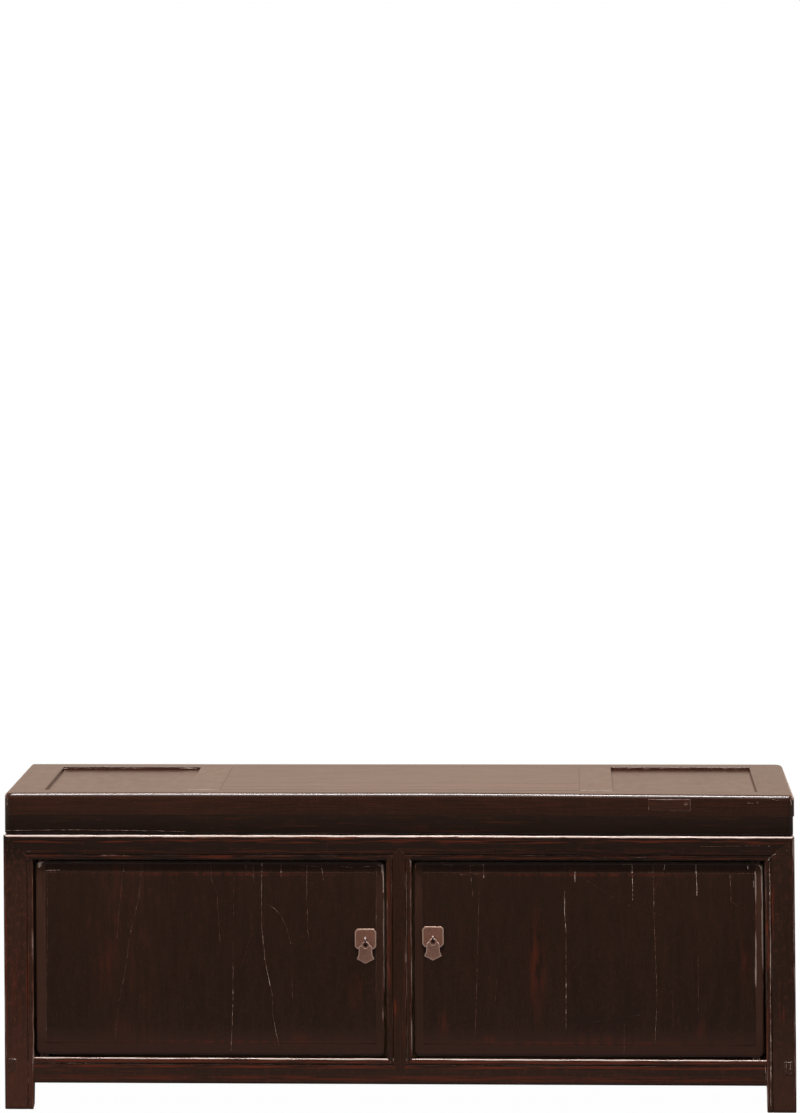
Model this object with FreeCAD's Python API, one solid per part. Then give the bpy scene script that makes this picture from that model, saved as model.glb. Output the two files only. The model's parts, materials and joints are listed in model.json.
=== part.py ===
import FreeCAD, Part
import math
import os

# A kang cabinet: a low black-lacquered cupboard with a mitred frame, two pivoting
# doors with tag pulls, and a framed top with a sunken tray at each end.
# Millimetres. +X is to the right seen from the front, the front faces -Y, +Z is up.

# Carcass frame
width = 1200.0
depth = 420.0
carcass_height = 421.0
leg_width = 45.0
leg_depth = 45.0
foot_height = 40.5
bottom_rail_height = 39.1
top_rail_height = 40.4
rail_thickness = 30.0
stile_width = 38.0
rear_stile_width = 38.0
carcass_arris = 6.0
leg_arris = 3.0
foot_arris = 2.5
opening_arris = 2.2

# Bead worked along the edges of the two door openings
bead_width = 9.0
groove_width = 2.2
groove_depth = 1.5

# Joints between the frame members
tenon_thickness = 12.0
tenon_height = 20.0
tenon_wall = 6.0
tenon_below_rail_top = 2.6
through_tenon_shift = 3.0
stile_shoulder_depth = 8.0
stile_tenon_width = 18.0
stile_tenon_length = 18.0
stile_tenon_thickness = 9.0

# Panels that close the ends and the back
panel_thickness = 10.0
panel_tongue = 8.0

# Floor
floor_drop = 8.0
floor_thickness = 12.0
floor_joint_shares = (-0.30, 0.32)
floor_batten_width = 32.0
floor_batten_height = 14.0
floor_batten_tenon = 10.0
floor_batten_share = 0.48

# Waist boards and framed top
waist_height = 29.6
waist_thickness = 18.0
top_thickness = 33.4
upper_front_setback = 3.0
upper_end_setback = 1.5
upper_arris = 6.5
waist_lower_arris = 2.0
top_front_left_corner = 6.0
top_front_right_corner = 10.0
top_rear_left_corner = 3.0
top_rear_right_corner = 14.0
top_joint_groove = 0.6
top_long_rail_width = 44.5
top_end_rail_width = 49.5
cross_rail_width = 50.0
tray_width = 227.0
tray_drop = 5.0
tray_rim_chamfer = 1.6
top_board_thickness = 14.0
top_board_tongue = 8.0
tray_panel_thickness = 12.0
top_board_joint_shares = (-0.77, -0.43)
top_batten_width = 30.0
top_batten_tenon = 10.0
top_batten_share = 0.50
tray_batten_height = 12.0

# Let-in patch on the front edge of the top
patch_from_end = 189.0
patch_width = 66.0
patch_height = 19.0
patch_depth = 3.0
patch_drop = 16.6

# Doors
door_thickness = 20.0
door_face_setback = 2.0
door_hinge_gap = 4.0
door_meeting_gap = 3.5
door_top_gap = 3.7
door_bottom_gap = 5.4
door_corner_radius = 8.0
door_front_arris = 3.0
door_rear_arris = 1.5
door_side_margin = 13.3
door_top_margin = 14.5
door_bottom_margin = 17.3
door_field_raise = 2.5
door_field_corner = 3.0
door_field_arris = 1.8
left_door_joint_shares = (0.312, 0.680)
right_door_joint_shares = (0.313, 0.569)
door_batten_width = 30.0
door_batten_depth = 6.0
door_batten_proud = 8.0
door_batten_flare = 2.5
door_batten_hinge_inset = 48.0
door_batten_meeting_inset = 26.0
door_batten_shares = (0.18, 0.82)
stop_strip_width = 62.0
stop_strip_thickness = 12.0
stop_clearance = 0.3

# Wooden pivots on which the doors turn
pivot_radius = 7.0
pivot_clearance = 0.3
pivot_from_edge = 11.0
pivot_bottom_engagement = 12.0
pivot_top_engagement = 10.0
pivot_end_clearance = 0.3

# Tag pulls
pull_from_meeting_edge = 28.6
plate_width = 32.3
plate_height = 32.0
plate_thickness = 1.6
plate_corner_width = 3.6
plate_corner_height = 4.5
plate_bevel = 0.6
plate_hole_clearance = 0.2
left_plate_above_middle = 45.85
right_plate_above_middle = 49.65
ring_drop = 18.0
left_ring_radius = 5.0
right_ring_radius = 3.4
strip_width = 2.6
strip_thickness = 1.6
strip_gap = 0.1
strip_bend_radius = 2.0
clinch_length = 9.0
clinch_clearance = 0.2
pin_hole_radius = 2.8
tag_half_width = 13.0
tag_length = 27.8
tag_thickness = 1.4
tag_head_radius = 6.05
tag_hole_radius = 4.0
tag_clearance = 0.5
tag_outline_shares = (
    (0.40, 0.08, 0.0),
    (0.80, -0.08, 0.22),
    (0.84, -0.34, 0.90),
    (1.00, -0.76, 0.08),
    (0.70, -0.82, 0.14),
)
tag_tip_radius_share = 0.10

# How near an edge's end must lie to a wanted place to count as being there
match_tolerance = 0.001


def neck_length(ring_radius):
    """How far a split pin's ring centre stands from the face its legs go into."""
    leg_offset = (strip_thickness + strip_gap) / 2 + strip_bend_radius
    return math.sqrt((ring_radius + strip_bend_radius) ** 2 - leg_offset ** 2)


# Places worked out from the sizes above
ring_reach = neck_length(left_ring_radius) + left_ring_radius + strip_thickness / 2
pull_reach = plate_thickness - door_face_setback + ring_reach
front_y = (pull_reach - depth) / 2
rear_y = front_y + depth
middle_y = (front_y + rear_y) / 2
half_width = width / 2
opening_x = half_width - leg_width
opening_low = foot_height + bottom_rail_height
opening_high = carcass_height - top_rail_height
rail_inner_y = front_y + rail_thickness
rear_rail_inner_y = rear_y - rail_thickness
leg_inner_y = front_y + leg_depth
rear_leg_inner_y = rear_y - leg_depth
side_rail_inner_x = half_width - rail_thickness
stile_half = stile_width / 2
door_front_y = front_y + door_face_setback
door_rear_y = door_front_y + door_thickness
stile_rear_y = door_rear_y + stop_clearance
waist_top = carcass_height + waist_height
total_height = waist_top + top_thickness
upper_front_y = front_y + upper_front_setback
upper_rear_y = rear_y - upper_front_setback
upper_half_width = half_width - upper_end_setback
top_front_inner_y = upper_front_y + top_long_rail_width
top_rear_inner_y = upper_rear_y - top_long_rail_width
tray_outer_x = upper_half_width - top_end_rail_width
tray_inner_x = tray_outer_x - tray_width
centre_half = tray_inner_x - cross_rail_width
tray_floor = total_height - tray_drop
floor_top = opening_low - floor_drop
floor_bottom = floor_top - floor_thickness
door_low = opening_low + door_bottom_gap
door_high = opening_high - door_top_gap
door_inner_x = stile_half + door_meeting_gap
door_outer_x = opening_x - door_hinge_gap
pivot_x = door_outer_x - pivot_from_edge
pivot_y = (door_front_y + door_rear_y) / 2
pull_x = door_inner_x + pull_from_meeting_edge
door_middle_z = (door_low + door_high) / 2
left_plate_top = door_middle_z + left_plate_above_middle
right_plate_top = door_middle_z + right_plate_above_middle
side_tenon_x = half_width - rail_thickness / 2
stub_end_x = side_tenon_x - tenon_thickness / 2 - tenon_wall

pieces = {}


def block(x0, x1, y0, y1, z0, z1):
    """A box between two values along each axis."""
    return Part.makeBox(x1 - x0, y1 - y0, z1 - z0, FreeCAD.Vector(x0, y0, z0))


def front_point(x, z, y):
    return FreeCAD.Vector(x, y, z)


def side_point(y, z, x):
    return FreeCAD.Vector(x, y, z)


def plan_point(x, y, z):
    return FreeCAD.Vector(x, y, z)


def rounded_face(corners, place, level):
    """A flat face through corners (u, v, radius), each corner rounded by its radius."""
    starts = []
    edges = []
    count = len(corners)
    for index, (u, v, radius) in enumerate(corners):
        before = corners[index - 1]
        after = corners[(index + 1) % count]
        to_before = FreeCAD.Vector(before[0] - u, before[1] - v, 0).normalize()
        to_after = FreeCAD.Vector(after[0] - u, after[1] - v, 0).normalize()
        corner = FreeCAD.Vector(u, v, 0)
        if radius == 0:
            starts.append((corner, corner))
            continue
        half_angle = to_before.getAngle(to_after) / 2
        reach = radius / math.tan(half_angle)
        towards_centre = (to_before + to_after).normalize()
        to_arc = radius / math.sin(half_angle) - radius
        first = corner + to_before * reach
        middle = corner + towards_centre * to_arc
        last = corner + to_after * reach
        arc_points = [place(point.x, point.y, level) for point in (first, middle, last)]
        edges.append(Part.Arc(*arc_points).toShape())
        starts.append((first, last))
    for index, (first, last) in enumerate(starts):
        following = starts[(index + 1) % count][0]
        line = (place(last.x, last.y, level), place(following.x, following.y, level))
        edges.append(Part.LineSegment(*line).toShape())
    return Part.Face(Part.Wire(Part.sortEdges(edges)[0]))


def front_prism(corners, y0, y1):
    """An outline drawn in the front view, carried from y0 to y1."""
    return rounded_face(corners, front_point, y0).extrude(FreeCAD.Vector(0, y1 - y0, 0))


def side_prism(corners, x0, x1):
    """An outline drawn in the side view, carried from x0 to x1."""
    return rounded_face(corners, side_point, x0).extrude(FreeCAD.Vector(x1 - x0, 0, 0))


def plan_prism(corners, z0, z1):
    """An outline drawn in the plan, carried from z0 to z1."""
    return rounded_face(corners, plan_point, z0).extrude(FreeCAD.Vector(0, 0, z1 - z0))


def rectangle(u0, u1, v0, v1, low_radius=0, high_radius=0):
    """Corners of a rectangle, with one radius for the low pair and one for the high pair."""
    return [(u0, v0, low_radius), (u1, v0, low_radius), (u1, v1, high_radius), (u0, v1, high_radius)]


def sharp(points):
    return [(u, v, 0) for u, v in points]


def edges_at(shape, **place):
    """The edges whose ends all lie at the given coordinates."""
    found = []
    for edge in shape.Edges:
        ends = [vertex.Point for vertex in edge.Vertexes]
        near = [abs(getattr(end, axis) - value) < match_tolerance
                for end in ends for axis, value in place.items()]
        if all(near):
            found.append(edge)
    return found


def mirrored(shape):
    """The same piece on the other side of the cabinet's middle plane."""
    return shape.mirror(FreeCAD.Vector(0, 0, 0), FreeCAD.Vector(1, 0, 0))


def turned_to_back(shape):
    """The same piece at the other face of the cabinet, front to back."""
    return shape.mirror(FreeCAD.Vector(0, middle_y, 0), FreeCAD.Vector(0, 1, 0))


def upright_groove(x, z0, z1):
    """A V groove down the front face, beside a bead."""
    half = groove_width / 2
    outline = sharp([(x - half, front_y), (x + half, front_y), (x, front_y + groove_depth)])
    return plan_prism(outline, z0, z1)


def level_groove(z, x0, x1):
    """A V groove along the front face, beside a bead."""
    half = groove_width / 2
    outline = sharp([(front_y, z - half), (front_y, z + half), (front_y + groove_depth, z)])
    return side_prism(outline, x0, x1)


def upright_arris(x, inward, z0, z1):
    """Rounds off an upright edge of the front face; inward points into the member."""
    radius = opening_arris
    x0, x1 = sorted((x, x + inward * radius))
    corner = block(x0, x1, front_y, front_y + radius, z0, z1)
    centre = FreeCAD.Vector(x + inward * radius, front_y + radius, z0)
    return corner.cut(Part.makeCylinder(radius, z1 - z0, centre))


def level_arris(z, inward, x0, x1):
    """Rounds off a level edge of the front face; inward points into the member."""
    radius = opening_arris
    z0, z1 = sorted((z, z + inward * radius))
    corner = block(x0, x1, front_y, front_y + radius, z0, z1)
    centre = FreeCAD.Vector(x0, front_y + radius, z + inward * radius)
    return corner.cut(Part.makeCylinder(radius, x1 - x0, centre, FreeCAD.Vector(1, 0, 0)))


def carcass_form():
    """The outside of the carcass, with every outer arris eased."""
    front_view = rectangle(-half_width, half_width, 0, carcass_height, foot_arris, carcass_arris)
    side_view = rectangle(front_y, rear_y, 0, carcass_height, foot_arris, carcass_arris)
    plan = rectangle(-half_width, half_width, front_y, rear_y, leg_arris, leg_arris)
    form = front_prism(front_view, front_y, rear_y)
    form = form.common(side_prism(side_view, -half_width, half_width))
    return form.common(plan_prism(plan, 0, carcass_height))


def upper_form():
    """The outside of the waist and top together."""
    front_view = rectangle(-upper_half_width, upper_half_width, carcass_height, total_height,
                           waist_lower_arris, upper_arris)
    side_view = rectangle(upper_front_y, upper_rear_y, carcass_height, total_height,
                          waist_lower_arris, upper_arris)
    plan = [
        (-upper_half_width, upper_front_y, top_front_left_corner),
        (upper_half_width, upper_front_y, top_front_right_corner),
        (upper_half_width, upper_rear_y, top_rear_right_corner),
        (-upper_half_width, upper_rear_y, top_rear_left_corner)]
    form = front_prism(front_view, upper_front_y, upper_rear_y)
    form = form.common(side_prism(side_view, -upper_half_width, upper_half_width))
    form = form.common(plan_prism(plan, carcass_height, total_height))
    return form.cut(Part.makeCompound(waist_joint_grooves()))


def waist_joint_grooves():
    """The fine V line all round where the top frame sits on the waist."""
    reach = top_joint_groove
    grooves = []
    for y, inward in ((upper_front_y, reach), (upper_rear_y, -reach)):
        outline = sharp([(y, waist_top - reach), (y, waist_top + reach), (y + inward, waist_top)])
        grooves.append(side_prism(outline, -half_width, half_width))
    for x, inward in ((-upper_half_width, reach), (upper_half_width, -reach)):
        outline = sharp([(x, waist_top - reach), (x, waist_top + reach), (x + inward, waist_top)])
        grooves.append(front_prism(outline, front_y, rear_y))
    return grooves


def front_top_rail(form):
    """Mitred over the legs: square at the bead, then straight to the outer corner."""
    kink_x = opening_x + bead_width
    kink_z = opening_high + bead_width
    outline = sharp([
        (-opening_x, opening_high), (opening_x, opening_high), (kink_x, kink_z),
        (half_width, carcass_height), (-half_width, carcass_height), (-kink_x, kink_z)])
    rail = front_prism(outline, front_y, rail_inner_y)
    corner_mitre = plan_prism(sharp([
        (-half_width, front_y), (half_width, front_y),
        (side_rail_inner_x, rail_inner_y), (-side_rail_inner_x, rail_inner_y)]), 0, carcass_height)
    rail = rail.common(corner_mitre).common(form)
    stub_y = front_y + (rail_thickness - tenon_thickness) / 2
    stub_z = opening_high + tenon_wall
    stub = block(-stub_end_x, stub_end_x, stub_y, stub_y + tenon_thickness, stub_z, stub_z + tenon_height)
    return rail.fuse(stub)


def side_top_rail(form):
    """Mitred to the front and rear rails and over the legs."""
    outline = sharp([
        (leg_inner_y, opening_high), (rear_leg_inner_y, opening_high),
        (rear_y, carcass_height), (front_y, carcass_height)])
    rail = side_prism(outline, side_rail_inner_x, half_width)
    corner_mitre = plan_prism(sharp([
        (half_width, front_y), (half_width, rear_y),
        (side_rail_inner_x, rear_rail_inner_y), (side_rail_inner_x, rail_inner_y)]), 0, carcass_height)
    rail = rail.common(corner_mitre).common(form)
    stub_x = side_tenon_x - tenon_thickness / 2
    stub_z = opening_high + tenon_wall
    stub_reach = leg_depth - rail_thickness + tenon_wall / 2
    stub = block(stub_x, stub_x + tenon_thickness, leg_inner_y - stub_reach,
                 rear_leg_inner_y + stub_reach, stub_z, stub_z + tenon_height / 2)
    return rail.fuse(stub)


def bottom_rail():
    """A bottom rail between the legs, with a stub tenon at each end."""
    rail = block(-opening_x, opening_x, front_y, rail_inner_y, foot_height, opening_low)
    stub_y = front_y + (rail_thickness - tenon_thickness) / 2
    stub_z = opening_low - tenon_wall - tenon_height
    stub = block(-stub_end_x, stub_end_x, stub_y, stub_y + tenon_thickness, stub_z, stub_z + tenon_height)
    return rail.fuse(stub)


def side_bottom_rail():
    """Tenoned right through the legs, so that its ends show on their faces."""
    rail = block(side_rail_inner_x, half_width, leg_inner_y, rear_leg_inner_y, foot_height, opening_low)
    tenon_top = opening_low - tenon_below_rail_top
    tenon_x = side_tenon_x + through_tenon_shift - tenon_thickness / 2
    tenon = block(tenon_x, tenon_x + tenon_thickness, front_y, rear_y, tenon_top - tenon_height, tenon_top)
    return rail.fuse(tenon)


def front_leg_blank(form):
    """A square leg with its bead on the side of the door opening."""
    leg = block(opening_x, half_width, front_y, leg_inner_y, 0, carcass_height)
    leg = leg.cut(upright_arris(opening_x, 1, 0, carcass_height))
    leg = leg.cut(upright_groove(opening_x + bead_width, 0, carcass_height))
    return leg.common(form)


def rear_leg_blank(form):
    leg = block(opening_x, half_width, rear_leg_inner_y, rear_y, 0, carcass_height)
    return leg.common(form)


def centre_stile():
    """The post between the doors: V shoulders on its face and a tenon behind each."""
    pointed = sharp([
        (-stile_half, opening_low), (0, opening_low - stile_half), (stile_half, opening_low),
        (stile_half, opening_high), (0, opening_high + stile_half), (-stile_half, opening_high)])
    tenon_y = front_y + stile_shoulder_depth
    stile = front_prism(pointed, front_y, tenon_y)
    stile = stile.fuse(block(-stile_half, stile_half, front_y, stile_rear_y, opening_low, opening_high))
    tenon = block(-stile_tenon_width / 2, stile_tenon_width / 2, tenon_y, tenon_y + stile_tenon_thickness,
                  opening_low - stile_tenon_length, opening_high + stile_tenon_length)
    return stile.fuse(tenon)


def beaded_stile(stile):
    """The same post with its edges eased and a bead down each side."""
    low_tip = opening_low - stile_half
    high_tip = opening_high + stile_half
    for side in (-1, 1):
        stile = stile.cut(upright_arris(side * stile_half, -side, low_tip, high_tip))
        stile = stile.cut(upright_groove(side * (stile_half - bead_width), low_tip, high_tip))
    return stile


def beaded_top_rail(rail):
    """The rail over the doors with its lower edge eased and a bead above it."""
    rail = rail.cut(level_arris(opening_high, 1, -half_width, half_width))
    return rail.cut(level_groove(opening_high + bead_width, -half_width, half_width))


def beaded_bottom_rail(rail):
    """The rail under the doors with both edges eased and a bead along the upper one."""
    rail = rail.cut(level_arris(opening_low, -1, -opening_x, opening_x))
    rail = rail.cut(level_arris(foot_height, 1, -opening_x, opening_x))
    return rail.cut(level_groove(opening_low - bead_width, -opening_x, opening_x))


def pivot_socket(low, high):
    """The round hole in which a door's pivot turns."""
    place = FreeCAD.Vector(pivot_x, pivot_y, low)
    return Part.makeCylinder(pivot_radius + pivot_clearance, high - low, place)


def cut_sockets(rail, low, high):
    socket = pivot_socket(low, high)
    return rail.cut(socket).cut(mirrored(socket))


def side_panel():
    """The end panel, tongued into the rails and into the legs."""
    x0 = side_tenon_x - panel_thickness / 2
    x1 = x0 + panel_thickness
    tall = block(x0, x1, leg_inner_y, rear_leg_inner_y,
                 opening_low - panel_tongue, opening_high + panel_tongue)
    long = block(x0, x1, leg_inner_y - panel_tongue, rear_leg_inner_y + panel_tongue,
                 opening_low, opening_high)
    return tall.fuse(long).removeSplitter()


def rear_panel():
    """The right-hand back panel, tongued into the rails, the leg and the rear stile."""
    y1 = rear_y - (rail_thickness - panel_thickness) / 2
    y0 = y1 - panel_thickness
    x0 = rear_stile_width / 2
    tall = block(x0, opening_x, y0, y1, opening_low - panel_tongue, opening_high + panel_tongue)
    long = block(x0 - panel_tongue, opening_x + panel_tongue, y0, y1, opening_low, opening_high)
    return tall.fuse(long).removeSplitter()


def rear_stile():
    half = rear_stile_width / 2
    stile = block(-half, half, rear_rail_inner_y, rear_y, opening_low, opening_high)
    tenon_y = rear_y - (rail_thickness + stile_tenon_thickness) / 2
    tenon = block(-stile_tenon_width / 2, stile_tenon_width / 2, tenon_y, tenon_y + stile_tenon_thickness,
                  opening_low - stile_tenon_length, opening_high + stile_tenon_length)
    return stile.fuse(tenon)


def floor_boards():
    """Three boards that together fill the bottom, tongued into the rails."""
    deep = block(-opening_x, opening_x, rail_inner_y - panel_tongue, rear_rail_inner_y + panel_tongue,
                 floor_bottom, floor_top)
    wide = block(-side_rail_inner_x - panel_tongue, side_rail_inner_x + panel_tongue,
                 leg_inner_y, rear_leg_inner_y, floor_bottom, floor_top)
    plate = deep.fuse(wide).removeSplitter()
    joints = [middle_y + share * (rear_rail_inner_y - rail_inner_y) for share in floor_joint_shares]
    bands = [front_y] + joints + [rear_y]
    boards = []
    for low, high in zip(bands, bands[1:]):
        boards.append(plate.common(block(-half_width, half_width, low, high, floor_bottom, floor_top)))
    return boards


def floor_batten():
    """A bearer under the floor boards, tenoned into the front and rear rails."""
    centre = floor_batten_share * opening_x
    x0 = centre - floor_batten_width / 2
    return block(x0, x0 + floor_batten_width, rail_inner_y - floor_batten_tenon,
                 rear_rail_inner_y + floor_batten_tenon, floor_bottom - floor_batten_height, floor_bottom)


def waist_board_front(form):
    inner_x = upper_half_width - waist_thickness
    outline = sharp([
        (-upper_half_width, upper_front_y), (upper_half_width, upper_front_y),
        (inner_x, upper_front_y + waist_thickness), (-inner_x, upper_front_y + waist_thickness)])
    return plan_prism(outline, carcass_height, waist_top).common(form)


def waist_board_rear(form):
    inner_x = upper_half_width - waist_thickness
    outline = sharp([
        (-upper_half_width, upper_rear_y), (upper_half_width, upper_rear_y),
        (inner_x, upper_rear_y - waist_thickness), (-inner_x, upper_rear_y - waist_thickness)])
    return plan_prism(outline, carcass_height, waist_top).common(form)


def waist_board_side():
    inner_x = upper_half_width - waist_thickness
    outline = sharp([
        (upper_half_width, upper_front_y), (upper_half_width, upper_rear_y),
        (inner_x, upper_rear_y - waist_thickness), (inner_x, upper_front_y + waist_thickness)])
    return plan_prism(outline, carcass_height, waist_top)


def top_long_rail(form, outer_y, inner_y):
    outline = sharp([
        (-upper_half_width, outer_y), (upper_half_width, outer_y),
        (tray_outer_x, inner_y), (-tray_outer_x, inner_y)])
    return plan_prism(outline, waist_top, total_height).common(form)


def top_end_rail():
    outline = sharp([
        (upper_half_width, upper_front_y), (upper_half_width, upper_rear_y),
        (tray_outer_x, top_rear_inner_y), (tray_outer_x, top_front_inner_y)])
    return plan_prism(outline, waist_top, total_height)


def top_cross_rail():
    """The rail between the centre boards and a tray, tenoned into the long rails."""
    rail = block(centre_half, tray_inner_x, top_front_inner_y, top_rear_inner_y, waist_top, total_height)
    tenon_z = waist_top + tenon_wall
    tenon_x = centre_half + (cross_rail_width - tenon_height) / 2
    tenon = block(tenon_x, tenon_x + tenon_height, top_front_inner_y - tenon_height,
                  top_rear_inner_y + tenon_height, tenon_z, tenon_z + tenon_thickness / 2)
    return rail.fuse(tenon)


def tray_rim_cutter():
    """Breaks the upper edges round a tray."""
    reach = tray_rim_chamfer

    def ring(margin, z):
        corners = rectangle(tray_inner_x - margin, tray_outer_x + margin,
                            top_front_inner_y - margin, top_rear_inner_y + margin)
        return rounded_face(corners, plan_point, z).OuterWire

    return Part.makeLoft([ring(0, total_height - reach), ring(reach, total_height)], True, True)


def tray_panel():
    """The sunken board, with a tongue all round under the rails' inner edges."""
    board = block(tray_inner_x, tray_outer_x, top_front_inner_y, top_rear_inner_y,
                  tray_floor - tray_panel_thickness, tray_floor)
    tongue_z = tray_floor - tray_panel_thickness
    tongue = block(tray_inner_x - top_board_tongue, tray_outer_x + top_board_tongue,
                   top_front_inner_y - top_board_tongue, top_rear_inner_y + top_board_tongue,
                   tongue_z, tongue_z + tray_panel_thickness / 2)
    return board.fuse(tongue)


def centre_boards():
    """The flush boards in the middle of the top, with a tongue all round."""
    board = block(-centre_half, centre_half, top_front_inner_y, top_rear_inner_y,
                  total_height - top_board_thickness, total_height)
    tongue_z = total_height - top_board_thickness
    tongue = block(-centre_half - top_board_tongue, centre_half + top_board_tongue,
                   top_front_inner_y - top_board_tongue, top_rear_inner_y + top_board_tongue,
                   tongue_z, tongue_z + top_board_thickness / 2)
    field = board.fuse(tongue)
    half_field = (top_rear_inner_y - top_front_inner_y) / 2
    field_middle = (top_rear_inner_y + top_front_inner_y) / 2
    joints = [field_middle + share * half_field for share in top_board_joint_shares]
    bands = [front_y] + joints + [rear_y]
    boards = []
    for low, high in zip(bands, bands[1:]):
        boards.append(field.common(block(-half_width, half_width, low, high, waist_top, total_height)))
    return boards


def top_batten(centre_x, low, high):
    """A bearer under the top, tenoned into the long rails."""
    x0 = centre_x - top_batten_width / 2
    return block(x0, x0 + top_batten_width, top_front_inner_y - top_batten_tenon,
                 top_rear_inner_y + top_batten_tenon, low, high)


def fascia_patch():
    """A piece let into the front edge of the top where old damage was made good."""
    x0 = upper_half_width - patch_from_end - patch_width / 2
    z1 = total_height - patch_drop + patch_height / 2
    return block(x0, x0 + patch_width, upper_front_y, upper_front_y + patch_depth, z1 - patch_height, z1)


def door_form():
    """The whole right-hand door: a raised field inside a lower margin, round corners."""
    margin_y = door_front_y + door_field_raise
    outline = rectangle(door_inner_x, door_outer_x, door_low, door_high,
                        door_corner_radius, door_corner_radius)
    slab = front_prism(outline, margin_y, door_rear_y)
    slab = slab.makeFillet(door_front_arris, edges_at(slab, y=margin_y))
    slab = slab.makeChamfer(door_rear_arris, edges_at(slab, y=door_rear_y))
    inset = rectangle(door_inner_x + door_side_margin, door_outer_x - door_side_margin,
                      door_low + door_bottom_margin, door_high - door_top_margin,
                      door_field_corner, door_field_corner)
    field = front_prism(inset, door_front_y, margin_y)
    field = field.makeFillet(door_field_arris, edges_at(field, y=door_front_y))
    return slab.fuse(field)


def door_batten(height_share):
    """A dovetailed bearer let into the back of a door."""
    centre_z = door_low + height_share * (door_high - door_low)
    half = door_batten_width / 2
    flared = half + door_batten_flare
    seat_y = door_rear_y - door_batten_depth
    outline = sharp([
        (seat_y, centre_z - flared), (door_rear_y, centre_z - half),
        (door_rear_y + door_batten_proud, centre_z - half),
        (door_rear_y + door_batten_proud, centre_z + half),
        (door_rear_y, centre_z + half), (seat_y, centre_z + flared)])
    x0 = door_inner_x + door_batten_meeting_inset
    x1 = door_outer_x - door_batten_hinge_inset
    return side_prism(outline, x0, x1)


def pin_hole(ring_z):
    """The hole bored through a door for the legs of its split pin."""
    place = FreeCAD.Vector(pull_x, door_front_y, ring_z)
    return Part.makeCylinder(pin_hole_radius, door_thickness, place, FreeCAD.Vector(0, 1, 0))


def door_pieces(joint_shares, plate_top):
    """Boards and bearers of a right-hand door, with its wooden pivots on the outer board."""
    form = door_form().cut(pin_hole(plate_top - ring_drop))
    battens = [door_batten(share) for share in door_batten_shares]
    for batten in battens:
        form = form.cut(batten)
    door_width = door_outer_x - door_inner_x
    joints = [door_outer_x - share * door_width for share in joint_shares]
    bands = [half_width] + joints + [0]
    boards = []
    for high, low in zip(bands, bands[1:]):
        boards.append(form.common(block(low, high, front_y, rear_y, 0, carcass_height)))
    pivot_low = opening_low - pivot_bottom_engagement
    pivot_high = opening_high + pivot_top_engagement
    spans = ((pivot_low, door_low + door_corner_radius), (door_high - door_corner_radius, pivot_high))
    for low, high in spans:
        pivot = Part.makeCylinder(pivot_radius, high - low, FreeCAD.Vector(pivot_x, pivot_y, low))
        boards[0] = boards[0].fuse(pivot)
    return boards, battens


def pull_plate(plate_top, ring_z):
    """A square back plate with canted corners and a bevelled rim."""
    half = plate_width / 2
    low = plate_top - plate_height
    outline = sharp([
        (pull_x - half + plate_corner_width, low), (pull_x + half - plate_corner_width, low),
        (pull_x + half, low + plate_corner_height), (pull_x + half, plate_top - plate_corner_height),
        (pull_x + half - plate_corner_width, plate_top), (pull_x - half + plate_corner_width, plate_top),
        (pull_x - half, plate_top - plate_corner_height), (pull_x - half, low + plate_corner_height)])
    plate_front_y = door_front_y - plate_thickness
    plate = front_prism(outline, plate_front_y, door_front_y)
    plate = plate.makeChamfer(plate_bevel, edges_at(plate, y=plate_front_y))
    legs_height = 2 * strip_thickness + strip_gap
    hole_radius = math.hypot(strip_width, legs_height) / 2 + plate_hole_clearance
    hole = Part.makeCylinder(hole_radius, plate_thickness, FreeCAD.Vector(pull_x, plate_front_y, ring_z),
                             FreeCAD.Vector(0, 1, 0))
    return plate.cut(hole)


def split_pin(ring_radius, ring_z):
    """One bent strip: a ring in front, two legs side by side, their ends turned out behind."""
    face_y = door_front_y - plate_thickness
    ring_y = face_y - neck_length(ring_radius)
    leg = (strip_thickness + strip_gap) / 2
    bend = strip_bend_radius
    ring_share = ring_radius / (ring_radius + bend)
    neck_y = ring_y + (face_y - ring_y) * ring_share
    neck_z = (leg + bend) * ring_share
    half_neck_turn = (math.pi / 2 - math.atan2(leg + bend, face_y - ring_y)) / 2
    clinch_y = door_rear_y + strip_thickness / 2 + clinch_clearance
    half_bend_reach = bend * math.sqrt(1 / 2)

    def half_path(up):
        def at(y, z):
            return FreeCAD.Vector(pull_x, y, ring_z + up * z)
        neck_middle = at(face_y - bend * math.sin(half_neck_turn),
                         leg + bend - bend * math.cos(half_neck_turn))
        bend_middle = at(clinch_y - bend + half_bend_reach, leg + bend - half_bend_reach)
        return [
            Part.Arc(at(neck_y, neck_z), neck_middle, at(face_y, leg)).toShape(),
            Part.LineSegment(at(face_y, leg), at(clinch_y - bend, leg)).toShape(),
            Part.Arc(at(clinch_y - bend, leg), bend_middle, at(clinch_y, leg + bend)).toShape(),
            Part.LineSegment(at(clinch_y, leg + bend), at(clinch_y, leg + clinch_length)).toShape(),
        ]

    ring_front = FreeCAD.Vector(pull_x, ring_y - ring_radius, ring_z)
    ring_arc = Part.Arc(FreeCAD.Vector(pull_x, neck_y, ring_z + neck_z), ring_front,
                        FreeCAD.Vector(pull_x, neck_y, ring_z - neck_z)).toShape()
    edges = half_path(1) + [ring_arc] + half_path(-1)
    path = Part.Wire(Part.sortEdges(edges)[0])
    end_z = ring_z + leg + clinch_length
    section = rounded_face(rectangle(
        pull_x - strip_width / 2, pull_x + strip_width / 2,
        clinch_y - strip_thickness / 2, clinch_y + strip_thickness / 2), plan_point, end_z)
    return path.makePipeShell([section.OuterWire], True, False)


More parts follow.
